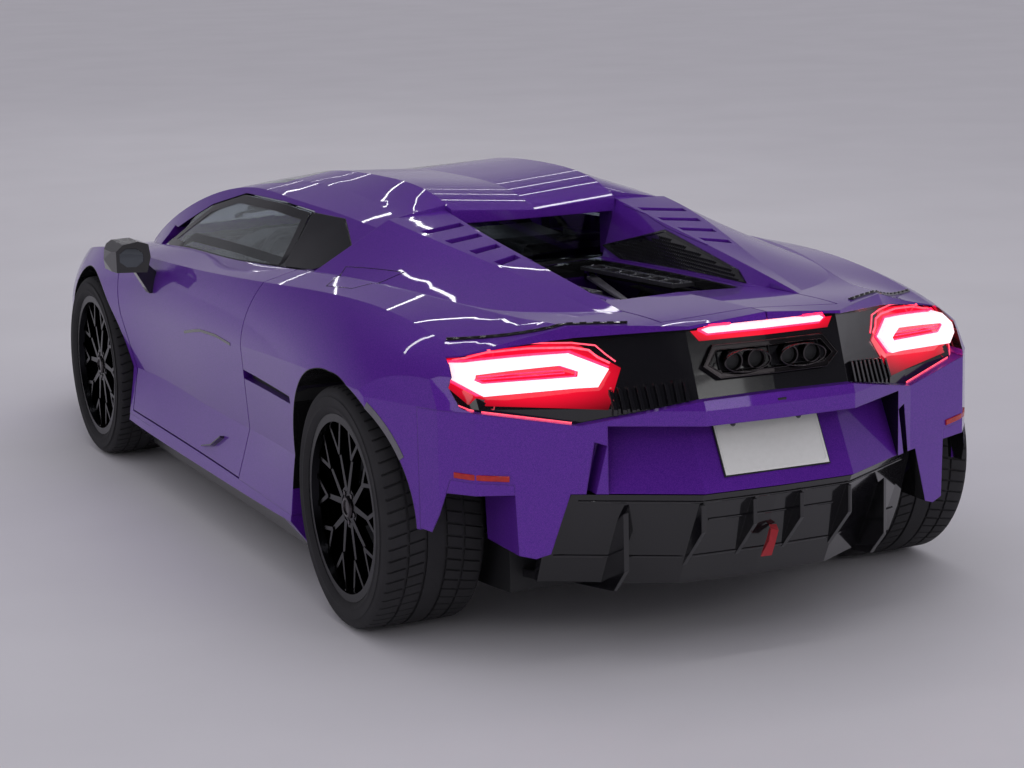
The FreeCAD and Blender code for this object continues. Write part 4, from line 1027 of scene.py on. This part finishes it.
def make_intake_hoses():
    """Rubber hose from each plenum, over and down to the gearbox."""
    hose = [(0.055, 1.33, 0.77), (0.06, 1.40, 0.80), (0.09, 1.48, 0.80), (0.12, 1.56, 0.74),
            (0.13, 1.62, 0.66), (0.13, 1.66, 0.56)]
    curve = smooth_path([Vector(p) for p in hose], 5)
    bm = bmesh.new()
    sweep(bm, curve, round_bar(0.017, 14), [LEFT] * len(curve))
    add_mirror_image(bm)
    finish_piece("intake_hoses", bm, rubber, "chassis")


def make_engine_braces():
    """Ribbed gussets in the bay's rear corners, the slanting brace, and two cross bars."""
    bm = bmesh.new()
    plate(bm, [(0.060, 1.500, 0.860), (0.188, 1.500, 0.860), (0.188, 1.715, 0.860)], UP * 0.006, 0.002)
    for k in range(3):
        brick(bm, (0.176 - 0.03 * k, 1.512, 0.866), (0.182 - 0.03 * k, 1.64 - 0.045 * k, 0.872), 0.0015)
    plate(bm, [(0.150, 0.812, 0.858), (0.188, 0.812, 0.858), (0.010, 1.500, 0.858), (0.010, 1.440, 0.858)],
          UP * 0.010, 0.003)
    add_mirror_image(bm)
    brick(bm, (-0.19, 1.500, 0.850), (0.19, 1.530, 0.866), 0.004)
    brick(bm, (-0.19, 1.700, 0.842), (0.19, 1.735, 0.858), 0.004)
    finish_piece("engine_braces", bm, grey_lacquer, "chassis")


def make_engine_bolts():
    """Bolts of the braces, and two round caps on the rear bar."""
    cap = [(0, 0.012), (0.016, 0.012), (0.021, 0.008), (0.022, 0.004)]
    bm = bmesh.new()
    for spot in ((0.170, 1.515, 0.873), (0.170, 1.69, 0.867), (0.085, 1.515, 0.867), (0.165, 0.83, 0.868)):
        bolt_head(bm, spot, 0.007)
    for x in (0.06, 0.10):
        lathe(bm, cap, (x, 1.717, 0.858), UP, 24)
    add_mirror_image(bm)
    finish_piece("engine_bolts", bm, steel, "chassis")


def make_oil_cap():
    """Round cap with a grip across it, behind the right plenum."""
    cap = [(0, 0.030), (0.012, 0.030), (0.016, 0.026), (0.018, 0.012)]
    bm = bmesh.new()
    lathe(bm, cap, (-0.105, 1.375, 0.735), UP, 32)
    brick(bm, (-0.112, 1.352, 0.750), (-0.098, 1.398, 0.760), 0.002)
    finish_piece("oil_cap", bm, satin_black, "chassis")


def make_rail_lines():
    """Bright upper edges and screws of the slotted rails, riding on the engine lid."""
    rails = skin("engine_grille")
    bm = bmesh.new()
    for x in (0.126, 0.189):
        strip(bm, rails, [(x, 0.834, 0.92), (x, 1.476, 0.95)], DOWN, 0.004, 0.002, step=0.1)
    for k in range(7):
        spot = Vector((0.158, 0.844 + 0.1033 * k, 0.95))
        bolt_head(bm, drop(rails, spot, DOWN)[0], 0.005)
    add_mirror_image(bm)
    finish_piece("rail_edges_and_screws", bm, bright_edge, "engine_lid")


def make_buttress_crests():
    """Rounded beads along the buttresses' inner top edges, found between slots, where the skin turns down."""
    quarter = skin("quarter_left")
    search_step, fall = 0.004, 0.008
    path = []
    for y in (0.80, 0.95, 1.09, 1.23, 1.37):
        last = None
        for j in range(60):
            here = drop(quarter, Vector((0.40 - search_step * j, y, 0.95)), DOWN, 0.3)[0]
            if last and (last.z - here.z > fall or here.x > last.x):
                break
            last = here
        path.append(last + Vector((0.001, 0, -0.001)))
    bm = bmesh.new()
    sweep(bm, path, round_bar(0.003, 10), [Vector((-0.5, 0, 1)).normalized()] * len(path))
    add_mirror_image(bm)
    finish_piece("buttress_crests", bm, paint, "chassis")


# Body details


SIDE_WINDOW = [(-0.60, 0.995), (-0.42, 1.045), (-0.06, 1.056), (0.19, 1.053), (0.395, 0.905), (0.10, 0.893),
               (-0.50, 0.868), (-0.76, 0.862)]
DOOR_SKIN_X = 0.97


def side_line(side, x, places):
    """(y, z) places as points at a distance x from the car's middle, on one side."""
    return [Vector((side * x, y, z)) for y, z in places]


def toward_middle(side):
    """The way from one side to the car's middle."""
    return LEFT * -side


def make_side_window_frame(side):
    """Black border round the side glass, riding on the door."""
    name = SIDES[side]
    glass = skin("door_glass_" + name)
    bm = bmesh.new()
    path, normals = lay(glass, side_line(side, 0.72, SIDE_WINDOW), toward_middle(side), True, 0.04, 0.3)
    sweep(bm, path, flat_strip(0.036, 0.0012, 0.0005), normals, True)
    finish_piece("side_glass_border_" + name, bm, gloss_black, "door_" + name)


def make_handle_shadow(side):
    """Shadow line of the flush door handle."""
    name = SIDES[side]
    places = [(-0.09, 0.646), (0.02, 0.668), (0.11, 0.684), (0.28, 0.694), (0.44, 0.690)]
    line = side_line(side, DOOR_SKIN_X, places)
    bm = bmesh.new()
    strip(bm, skin("door_" + name), line, toward_middle(side), 0.010, 0.0015, step=0.04, reach=0.2)
    finish_piece("door_handle_shadow_" + name, bm, gloss_black, "door_" + name)


def make_door_lining(side):
    """Lined panel inside the door, with its pull."""
    name = SIDES[side]
    lining_x, lining_thick, pull_thick = 0.7745, 0.012, 0.03
    lining = side_line(side, lining_x, [(-0.66, 0.28), (0.36, 0.28), (0.44, 0.80), (-0.66, 0.80)])
    places = [(-0.40, 0.50), (0.16, 0.54), (0.16, 0.585), (-0.40, 0.56)]
    pull = side_line(side, lining_x - lining_thick, places)
    bm = bmesh.new()
    plate(bm, lining, toward_middle(side) * lining_thick, 0.004)
    plate(bm, pull, toward_middle(side) * pull_thick, 0.008)
    finish_piece("door_lining_" + name, bm, leather, "door_" + name)


def make_door_winglet(side):
    """Small black blade at the door's lower rear corner, over the sill."""
    name = SIDES[side]
    line = side_line(side, DOOR_SKIN_X, [(0.060, 0.272), (0.150, 0.292), (0.235, 0.336)])
    blade = [(-0.004, -0.002), (0.004, -0.002), (0.002, 0.016), (-0.002, 0.016)]
    bm = bmesh.new()
    path, normals = lay(skin("door_" + name), line, toward_middle(side), step=0.03, reach=0.2)
    sweep(bm, path, blade, normals)
    finish_piece("door_winglet_" + name, bm, gloss_black, "door_" + name)


def make_mirror_trim(side):
    """Silvered glass in the mirror's rear face."""
    name = SIDES[side]
    head = skin("mirror_" + name)
    centre_x, centre_z, half_width, half_height = 1.036, 0.868, 0.042, 0.036
    points = []
    for turn in around(8, 0.5):
        x = side * (centre_x + half_width * math.cos(turn))
        found = drop(head, Vector((x, -0.42, centre_z + half_height * math.sin(turn))), FORWARD, 0.2)[0]
        points.append(found + BACKWARD * 0.0003)
    bm = bmesh.new()
    plate(bm, points, BACKWARD * 0.002, 0.0006)
    finish_piece("mirror_glass_" + name, bm, mirror_silver, "door_" + name)


def make_arch_strips():
    """Grey strips on the rear edges of the rear arches: a painted highlight where the arches' inner edges
    catch the light.
    """
    axle = wheel_size("rear_left")[0]
    radius, centre_z, x = REAR_ARCH + 0.010, 0.364, 0.97
    points = []
    for k in range(9):
        turn = math.radians(57 - 26 * k / 8)
        points.append(Vector((x, axle.y + radius * math.cos(turn), centre_z + radius * math.sin(turn))))
    body = skin("quarter_left", "rear_bumper")
    bm = bmesh.new()
    strip(bm, body, points, toward_middle(1), 0.022, 0.002, step=0.05, reach=0.2)
    add_mirror_image(bm)
    # Grey strips paint the light caught by the rear arches' inner edges
    finish_piece("rear_arch_painted_highlights", bm, grey_lacquer, "chassis")


def make_fuel_flap():
    """Seam of the fuel flap on the left fender's top."""
    flap = [(0.700, 0.830, 0.97), (0.620, 1.120, 0.99), (0.780, 1.090, 0.95), (0.815, 0.960, 0.95)]
    bm = bmesh.new()
    strip(bm, skin("quarter_left"), flap, DOWN, 0.003, 0.0008, True, 0.02)
    finish_piece("fuel_flap_seam", bm, gloss_black, "chassis")


def make_wipers():
    """Two wipers at rest on the windscreen, each an arm, a blade and a pivot."""
    screen = skin("windscreen", "front_frame", "front_lid", "front_fenders", "roof_frame")
    arm_lift = 0.010
    bm = bmesh.new()
    for foot, tip in ((0.42, -0.10), (-0.08, -0.58)):
        pivot = drop(screen, Vector((foot, -1.055, 0.9)), DOWN)[0]
        lathe(bm, [(0, 0.016), (0.012, 0.016), (0.016, 0.011)], pivot, UP, 24)
        arm = [(foot, -1.045, 1.0), (foot * 0.4 + tip * 0.6, -1.000, 1.0)]
        path, normals = lay(screen, arm, DOWN, step=0.06, reach=0.4)
        sweep(bm, [p + n * arm_lift for p, n in zip(path, normals)], flat_strip(0.012, 0.006), normals)
        blade = [(foot - 0.02, -0.992, 1.0), (tip, -0.990, 1.0)]
        path, normals = lay(screen, blade, DOWN, step=0.05, reach=0.4)
        sweep(bm, path, flat_strip(0.007, 0.012, 0.0), normals)
    finish_piece("wipers", bm, satin_black, "chassis")


def make_headlamp_lights():
    """Two light blades in each headlamp, of unlit white acrylic given a faint painted glow."""
    lens = skin("headlamps")
    bm = bmesh.new()
    for line, width in (([(0.600, 0.578), (0.700, 0.600), (0.800, 0.630)], 0.008),
                        ([(0.640, 0.575), (0.720, 0.583)], 0.006)):
        points = [Vector((x, -2.1, z)) for x, z in line]
        strip(bm, lens, points, BACKWARD, width, 0.002, reach=0.6)
    add_mirror_image(bm)
    finish_piece("headlamp_blades", bm, white_painted_glow, "chassis")


def make_nose_mesh():
    """Six-sided mesh, its cells 20 mm wide, behind the nose's blades."""
    intake = [(0.345, 0.245), (0.510, 0.248), (0.530, 0.330), (0.512, 0.435), (0.425, 0.412), (0.358, 0.330)]
    pitch, bar, near, far = 0.020, 0.0022, -2.262, -2.256
    outer = pitch / math.sqrt(3) + bar / 2
    inner = pitch / math.sqrt(3) - bar
    bm = bmesh.new()
    for x, z in honeycomb(intake, (0.335, 0.235), pitch, 14, 14):
        rings = []
        for radius, y in ((outer, near), (inner, near), (inner, far), (outer, far)):
            rings.append([bm.verts.new((x + radius * math.sin(t), y, z + radius * math.cos(t)))
                          for t in around(6)])
        join_rings(bm, rings, True)
    add_mirror_image(bm)
    finish_piece("nose_mesh", bm, satin_black, "chassis")


# Cabin


def crown(u, v):
    """Height of a stuffed pad, from 0 at its edges to 1, at places from -1 to 1 along and across it."""
    return (max(0.0, 1 - abs(u) ** 3.5) * max(0.0, 1 - abs(v) ** 4)) ** 0.4


def pad_mesh(bm, width, length, thick, channels, matrix):
    """A crowned cushion, its sides drawn in between its corners, with sewn channels across it."""
    columns, rows = 20, 28
    channel_depth, channel_half, back_share = 0.008, 0.007, 0.35
    for face in (1, -back_share):
        grid = []
        for i in range(columns + 1):
            line = []
            for j in range(rows + 1):
                u, v = 2 * i / columns - 1, 2 * j / rows - 1
                x = width / 2 * u * (1 - 0.05 * (1 - v * v))
                y = length / 2 * v * (1 - 0.03 * (1 - u * u))
                z = thick / 2 * crown(u, v) * face
                if face > 0:
                    for c in channels:
                        away = (v - c) * length / 2 / channel_half
                        z -= channel_depth * math.exp(-away ** 2) * crown(u, v)
                line.append(bm.verts.new(matrix @ Vector((x, y, z))))
            grid.append(line)
        for i in range(columns):
            for j in range(rows):
                bm.faces.new((grid[i][j], grid[i + 1][j], grid[i + 1][j + 1], grid[i][j + 1]))


def tilted(x, y, z, tilt):
    """A place in the cabin, turned back by tilt degrees."""
    return Matrix.Translation((x, y, z)) @ Matrix.Rotation(math.radians(tilt), 4, "X")


# Places (y, z) along a seat's bolster, and the way (y, z) it faces there
BOLSTER = (((-0.44, 0.395), (-0.1, 1)), ((-0.30, 0.412), (0, 1)), ((-0.12, 0.410), (0, 1)),
           ((0.02, 0.420), (-0.4, 0.9)), ((0.12, 0.500), (-0.75, 0.6)), ((0.22, 0.635), (-0.85, 0.5)),
           ((0.30, 0.745), (-0.87, 0.48)), ((0.36, 0.830), (-0.8, 0.6)))
SEAT_X = 0.37


def seat_pads(side):
    """Each pad's name, width, length, thickness, channels and place."""
    x = side * SEAT_X
    return (
        ("cushion", 0.355, 0.50, 0.085, (-0.55, -0.2, 0.15, 0.5), tilted(x, -0.215, 0.345, -5)),
        ("back", 0.340, 0.50, 0.075, (-0.6, -0.3, 0.0, 0.3, 0.6), tilted(x, 0.165, 0.590, 62)),
        ("head", 0.240, 0.17, 0.070, (0.0,), tilted(x, 0.338, 0.858, 65)),
    )


def make_seat_pads(side):
    """Cushion, back and head pads of one seat."""
    for label, *pad in seat_pads(side):
        bm = bmesh.new()
        pad_mesh(bm, *pad)
        bmesh.ops.remove_doubles(bm, verts=bm.verts, dist=0.0002)
        piece = finish_piece("seat_" + label + "_" + SIDES[side], bm, leather, "chassis", 60)


def make_seat_bolsters(side):
    """Two rolled bolsters, which run beside the cushion and up beside the back."""
    roll = [(0.036 * math.cos(a), 0.026 * math.sin(a)) for a in around(14)]
    ups = [Vector((0, *facing)).normalized() for place, facing in BOLSTER]
    bm = bmesh.new()
    for edge in (-0.215, 0.215):
        sweep(bm, [Vector((side * SEAT_X + edge, *place)) for place, facing in BOLSTER], roll, ups)
    piece = finish_piece("seat_bolsters_" + SIDES[side], bm, leather, "chassis", 70)


def make_seat_stitches(side):
    """Stitches beside the channels of the cushion and the back."""
    stitches, sunk, beside = 18, 0.0035, 0.006
    bm = bmesh.new()
    for width, length, thick, channels, matrix in (pad[1:] for pad in seat_pads(side)[:2]):
        for c in channels:
            for k in range(stitches):
                u = -0.8 + 1.6 * k / stitches
                start, end = width / 2 * u, width / 2 * (u + 0.05)
                y = length / 2 * c + beside
                z = thick / 2 * crown(u, c) - sunk
                thread = [matrix @ Vector((start, y, z)), matrix @ Vector(((start + end) / 2, y, z + 0.001)),
                          matrix @ Vector((end, y, z))]
                sweep(bm, thread, round_bar(0.0008, 5), [matrix.to_3x3() @ UP] * 3)
    finish_piece("seat_stitches_" + SIDES[side], bm, pale_thread, "chassis")


def make_steering_wheel():
    """Leather rim with a flat foot, three spokes and a hub pad."""
    rake = math.radians(19.0)
    low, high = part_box("steering_wheel")
    place = Matrix.Translation((low + high) / 2) @ Matrix.Rotation(rake - math.pi / 2, 4, "X")
    radius, foot, steps = 0.165, -0.150, 72
    path = [Vector((radius * math.sin(turn), max(radius * math.cos(turn), foot), 0))
            for turn in around(steps)]
    bm = bmesh.new()
    sweep(bm, path, round_bar(0.0152, 12), [UP] * steps, True)
    for spoke in ([(-0.155, 0.016), (-0.045, 0.026), (-0.045, -0.026), (-0.155, -0.010)],
                  [(0.155, -0.010), (0.045, -0.026), (0.045, 0.026), (0.155, 0.016)],
                  [(-0.016, -0.148), (-0.024, -0.040), (0.024, -0.040), (0.016, -0.148)]):
        plate(bm, [(x, y, -0.006) for x, y in spoke], UP * 0.012, 0.003)
    lathe(bm, [(-0.015, 0.048), (0.008, 0.048), (0.014, 0.040), (0.015, 0.030)], (0, 0, 0), UP, 6)
    bmesh.ops.transform(bm, matrix=place, verts=bm.verts)
    piece = finish_piece("leather_steering_wheel", bm, leather, "steering_wheel", 40)
    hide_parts("steering_wheel")


def make_dash_details():
    """Hood over the dials, four vents, and the row of switches on the console."""
    turns = [math.pi * k / 16 for k in range(17)]
    hood = [Vector((SEAT_X + 0.17 * math.cos(a), -0.70, 0.795 + 0.075 * math.sin(a))) for a in turns]
    bm = bmesh.new()
    sweep(bm, hood, flat_strip(0.16, 0.008), [Vector((math.cos(a), 0, math.sin(a))) for a in turns])
    for x in (-0.62, -0.22, 0.10, 0.64):
        for k in range(4):
            z = 0.700 + 0.018 * k
            y = -0.5645 - 0.4 * (z - 0.69)
            brick(bm, (x - 0.045, y, z), (x + 0.045, y + 0.012, z + 0.008), 0.002)
    for k in range(5):
        x = -0.06 + 0.026 * k
        brick(bm, (x, -0.42, 0.555), (x + 0.015, -0.405, 0.585), 0.003)
    finish_piece("dash_hood_vents_and_switches", bm, satin_black, "chassis")


def make_cabin_displays():
    """Dials' display under the hood, and the display on the console."""
    bm = bmesh.new()
    for x0, x1, near, far, thick in ((0.25, 0.49, (-0.655, 0.800), (-0.672, 0.850), (0, 0.004, 0.001)),
                                     (-0.075, 0.075, (-0.4665, 0.570), (-0.5385, 0.620), (0, 0.003, 0.005))):
        plate(bm, [(x0, *near), (x1, *near), (x1, *far), (x0, *far)], Vector(thick), 0.001)
    finish_piece("cabin_displays", bm, dark_display, "chassis")


# Camera, floor and lights


def make_camera():
    """The photograph's place and angle, as fitted to the car's wheels, tail and number plate."""
    azimuth, elevation, roll = (math.radians(a) for a in (155.8415504, 11.53905971, -1.38302425))
    place = Vector((3.61243566, 8.58094951, 2.27267431))
    back = Vector((math.sin(azimuth) * math.cos(elevation), -math.cos(azimuth) * math.cos(elevation),
                   math.sin(elevation)))
    level = UP.cross(back).normalized()
    upright = back.cross(level)
    right = level * math.cos(roll) + upright * math.sin(roll)
    up = upright * math.cos(roll) - level * math.sin(roll)
    data = bpy.data.cameras.new("camera")
    data.lens = 93.212
    data.sensor_width = 36.0
    camera = bpy.data.objects.new("camera", data)
    camera.matrix_world = Matrix.Translation(place) @ Matrix((right, up, back)).transposed().to_4x4()
    scene.collection.objects.link(camera)
    scene.camera = camera


def make_lamp(name, place, aim, width, depth, power):
    """A soft panel light at place, turned to aim."""
    data = bpy.data.lights.new(name, "AREA")
    data.shape = "RECTANGLE"
    data.size = width
    data.size_y = depth
    data.energy = power
    lamp = bpy.data.objects.new(name, data)
    lamp.location = place
    lamp.rotation_euler = (Vector(aim) - Vector(place)).to_track_quat("-Z", "Y").to_euler()
    scene.collection.objects.link(lamp)


def make_floor():
    """Pale concrete, a little uneven in stains 0.8 m wide."""
    material, tree, place = new_finish("pale_concrete")
    stains = add(tree, "TexNoise", {"Vector": place, "Scale": cells(833), "Detail": 6.0})
    shader = add(tree, "BsdfPrincipled", {
        "Base Color": add(tree, "MixRGB", {"Fac": stains, "Color1": colour("#d6d4d8"),
                                           "Color2": colour("#e2e0e4")}),
        "Roughness": 0.55,
    })
    add(tree, "OutputMaterial", {"Surface": shader})
    size = 60.0
    mesh = bpy.data.meshes.new("studio_floor")
    mesh.from_pydata([(-size, -size, 0), (size, -size, 0), (size, size, 0), (-size, size, 0)], [],
                     [(0, 1, 2, 3)])
    mesh.materials.append(material)
    floor = bpy.data.objects.new("studio_floor", mesh)
    scene.collection.objects.link(floor)


def make_surroundings():
    """A world that is pale to the camera and through glass, and darker overhead where paint mirrors it."""
    world = bpy.data.worlds.new("studio_world")
    world.use_nodes = True
    tree = world.node_tree
    tree.nodes.clear()
    rays = add(tree, "LightPath")
    heading = add(tree, "SeparateXYZ", {"Vector": add(tree, "TexCoord").outputs["Generated"]})
    climb = add(tree, "MapRange", {"Value": heading.outputs["Z"], "From Min": 0.06, "From Max": 0.45})
    hall = add(tree, "MixRGB", {"Fac": climb, "Color1": colour("#a9a7ae"), "Color2": colour("#34343a")})
    soft = add(tree, "Background", {"Color": colour("#e2e0e8"), "Strength": 0.75})
    mirrored = add(tree, "Background", {"Color": hall, "Strength": 1.0})
    pale = add(tree, "Background", {"Color": colour("#d6d6da"), "Strength": 1.0})
    seen = add(tree, "Math", {0: rays.outputs["Is Camera Ray"], 1: rays.outputs["Is Transmission Ray"]},
               operation="MAXIMUM")
    bounced = add(tree, "MixShader", {"Fac": rays.outputs["Is Glossy Ray"], 1: soft, 2: mirrored})
    mix = add(tree, "MixShader", {"Fac": seen, 1: bounced, 2: pale})
    add(tree, "OutputWorld", {"Surface": mix})
    scene.world = world


def make_lamps():
    """Strips overhead, before the nose and over the cabin, and a soft panel to the side and to the rear."""
    height, length, depth, power = 4.0, 5.0, 0.08, 10.0
    for x, rows in ((-2.5, (-12.0, -9.0, -6.0, -4.0)), (-0.5, (-2.0, 0.5, 3.0))):
        for y in rows:
            make_lamp("ceiling_strip_%d" % (y * 10), (x, y, height), (x, y, 0), length, depth, power)
    make_lamp("side_panel", (8.0, 2.5, 3.4), (0, 0.5, 0.6), 3.0, 1.2, 14.0)
    make_lamp("rear_panel", (-1.5, 9.0, 3.8), (0, 1.5, 0.5), 3.5, 1.2, 30.0)


make_camera()
finish_solids()
for wheel in WHEELS:
    make_tyre(wheel)
    make_wheel_trim(wheel)
    make_caliper_cover(wheel)
make_red_light_guides()
make_rose_light_lines()
make_glow_lenses()
make_exhaust_outlines()
make_outlet_shade_plugs()
make_exhaust_grille()
make_deck_strip()
make_deck_ribs()
make_plate_rim()
make_plate_bolts()
make_plate_holder()
make_diffuser_steps()
make_towing_strap()
make_rear_reflectors()
make_rear_camera()
make_perforated_sheets()
make_sheet_rims()
make_plenum_ribs()
make_intake_hoses()
make_engine_braces()
make_engine_bolts()
make_oil_cap()
make_rail_lines()
make_buttress_crests()
for car_side in SIDES:
    make_side_window_frame(car_side)
    make_handle_shadow(car_side)
    make_door_lining(car_side)
    make_door_winglet(car_side)
    make_mirror_trim(car_side)
    make_seat_pads(car_side)
    make_seat_bolsters(car_side)
    make_seat_stitches(car_side)
make_arch_strips()
make_fuel_flap()
make_wipers()
make_headlamp_lights()
make_nose_mesh()
make_steering_wheel()
make_dash_details()
make_cabin_displays()
make_floor()
make_surroundings()
make_lamps()
scene.view_settings.view_transform = "Standard"
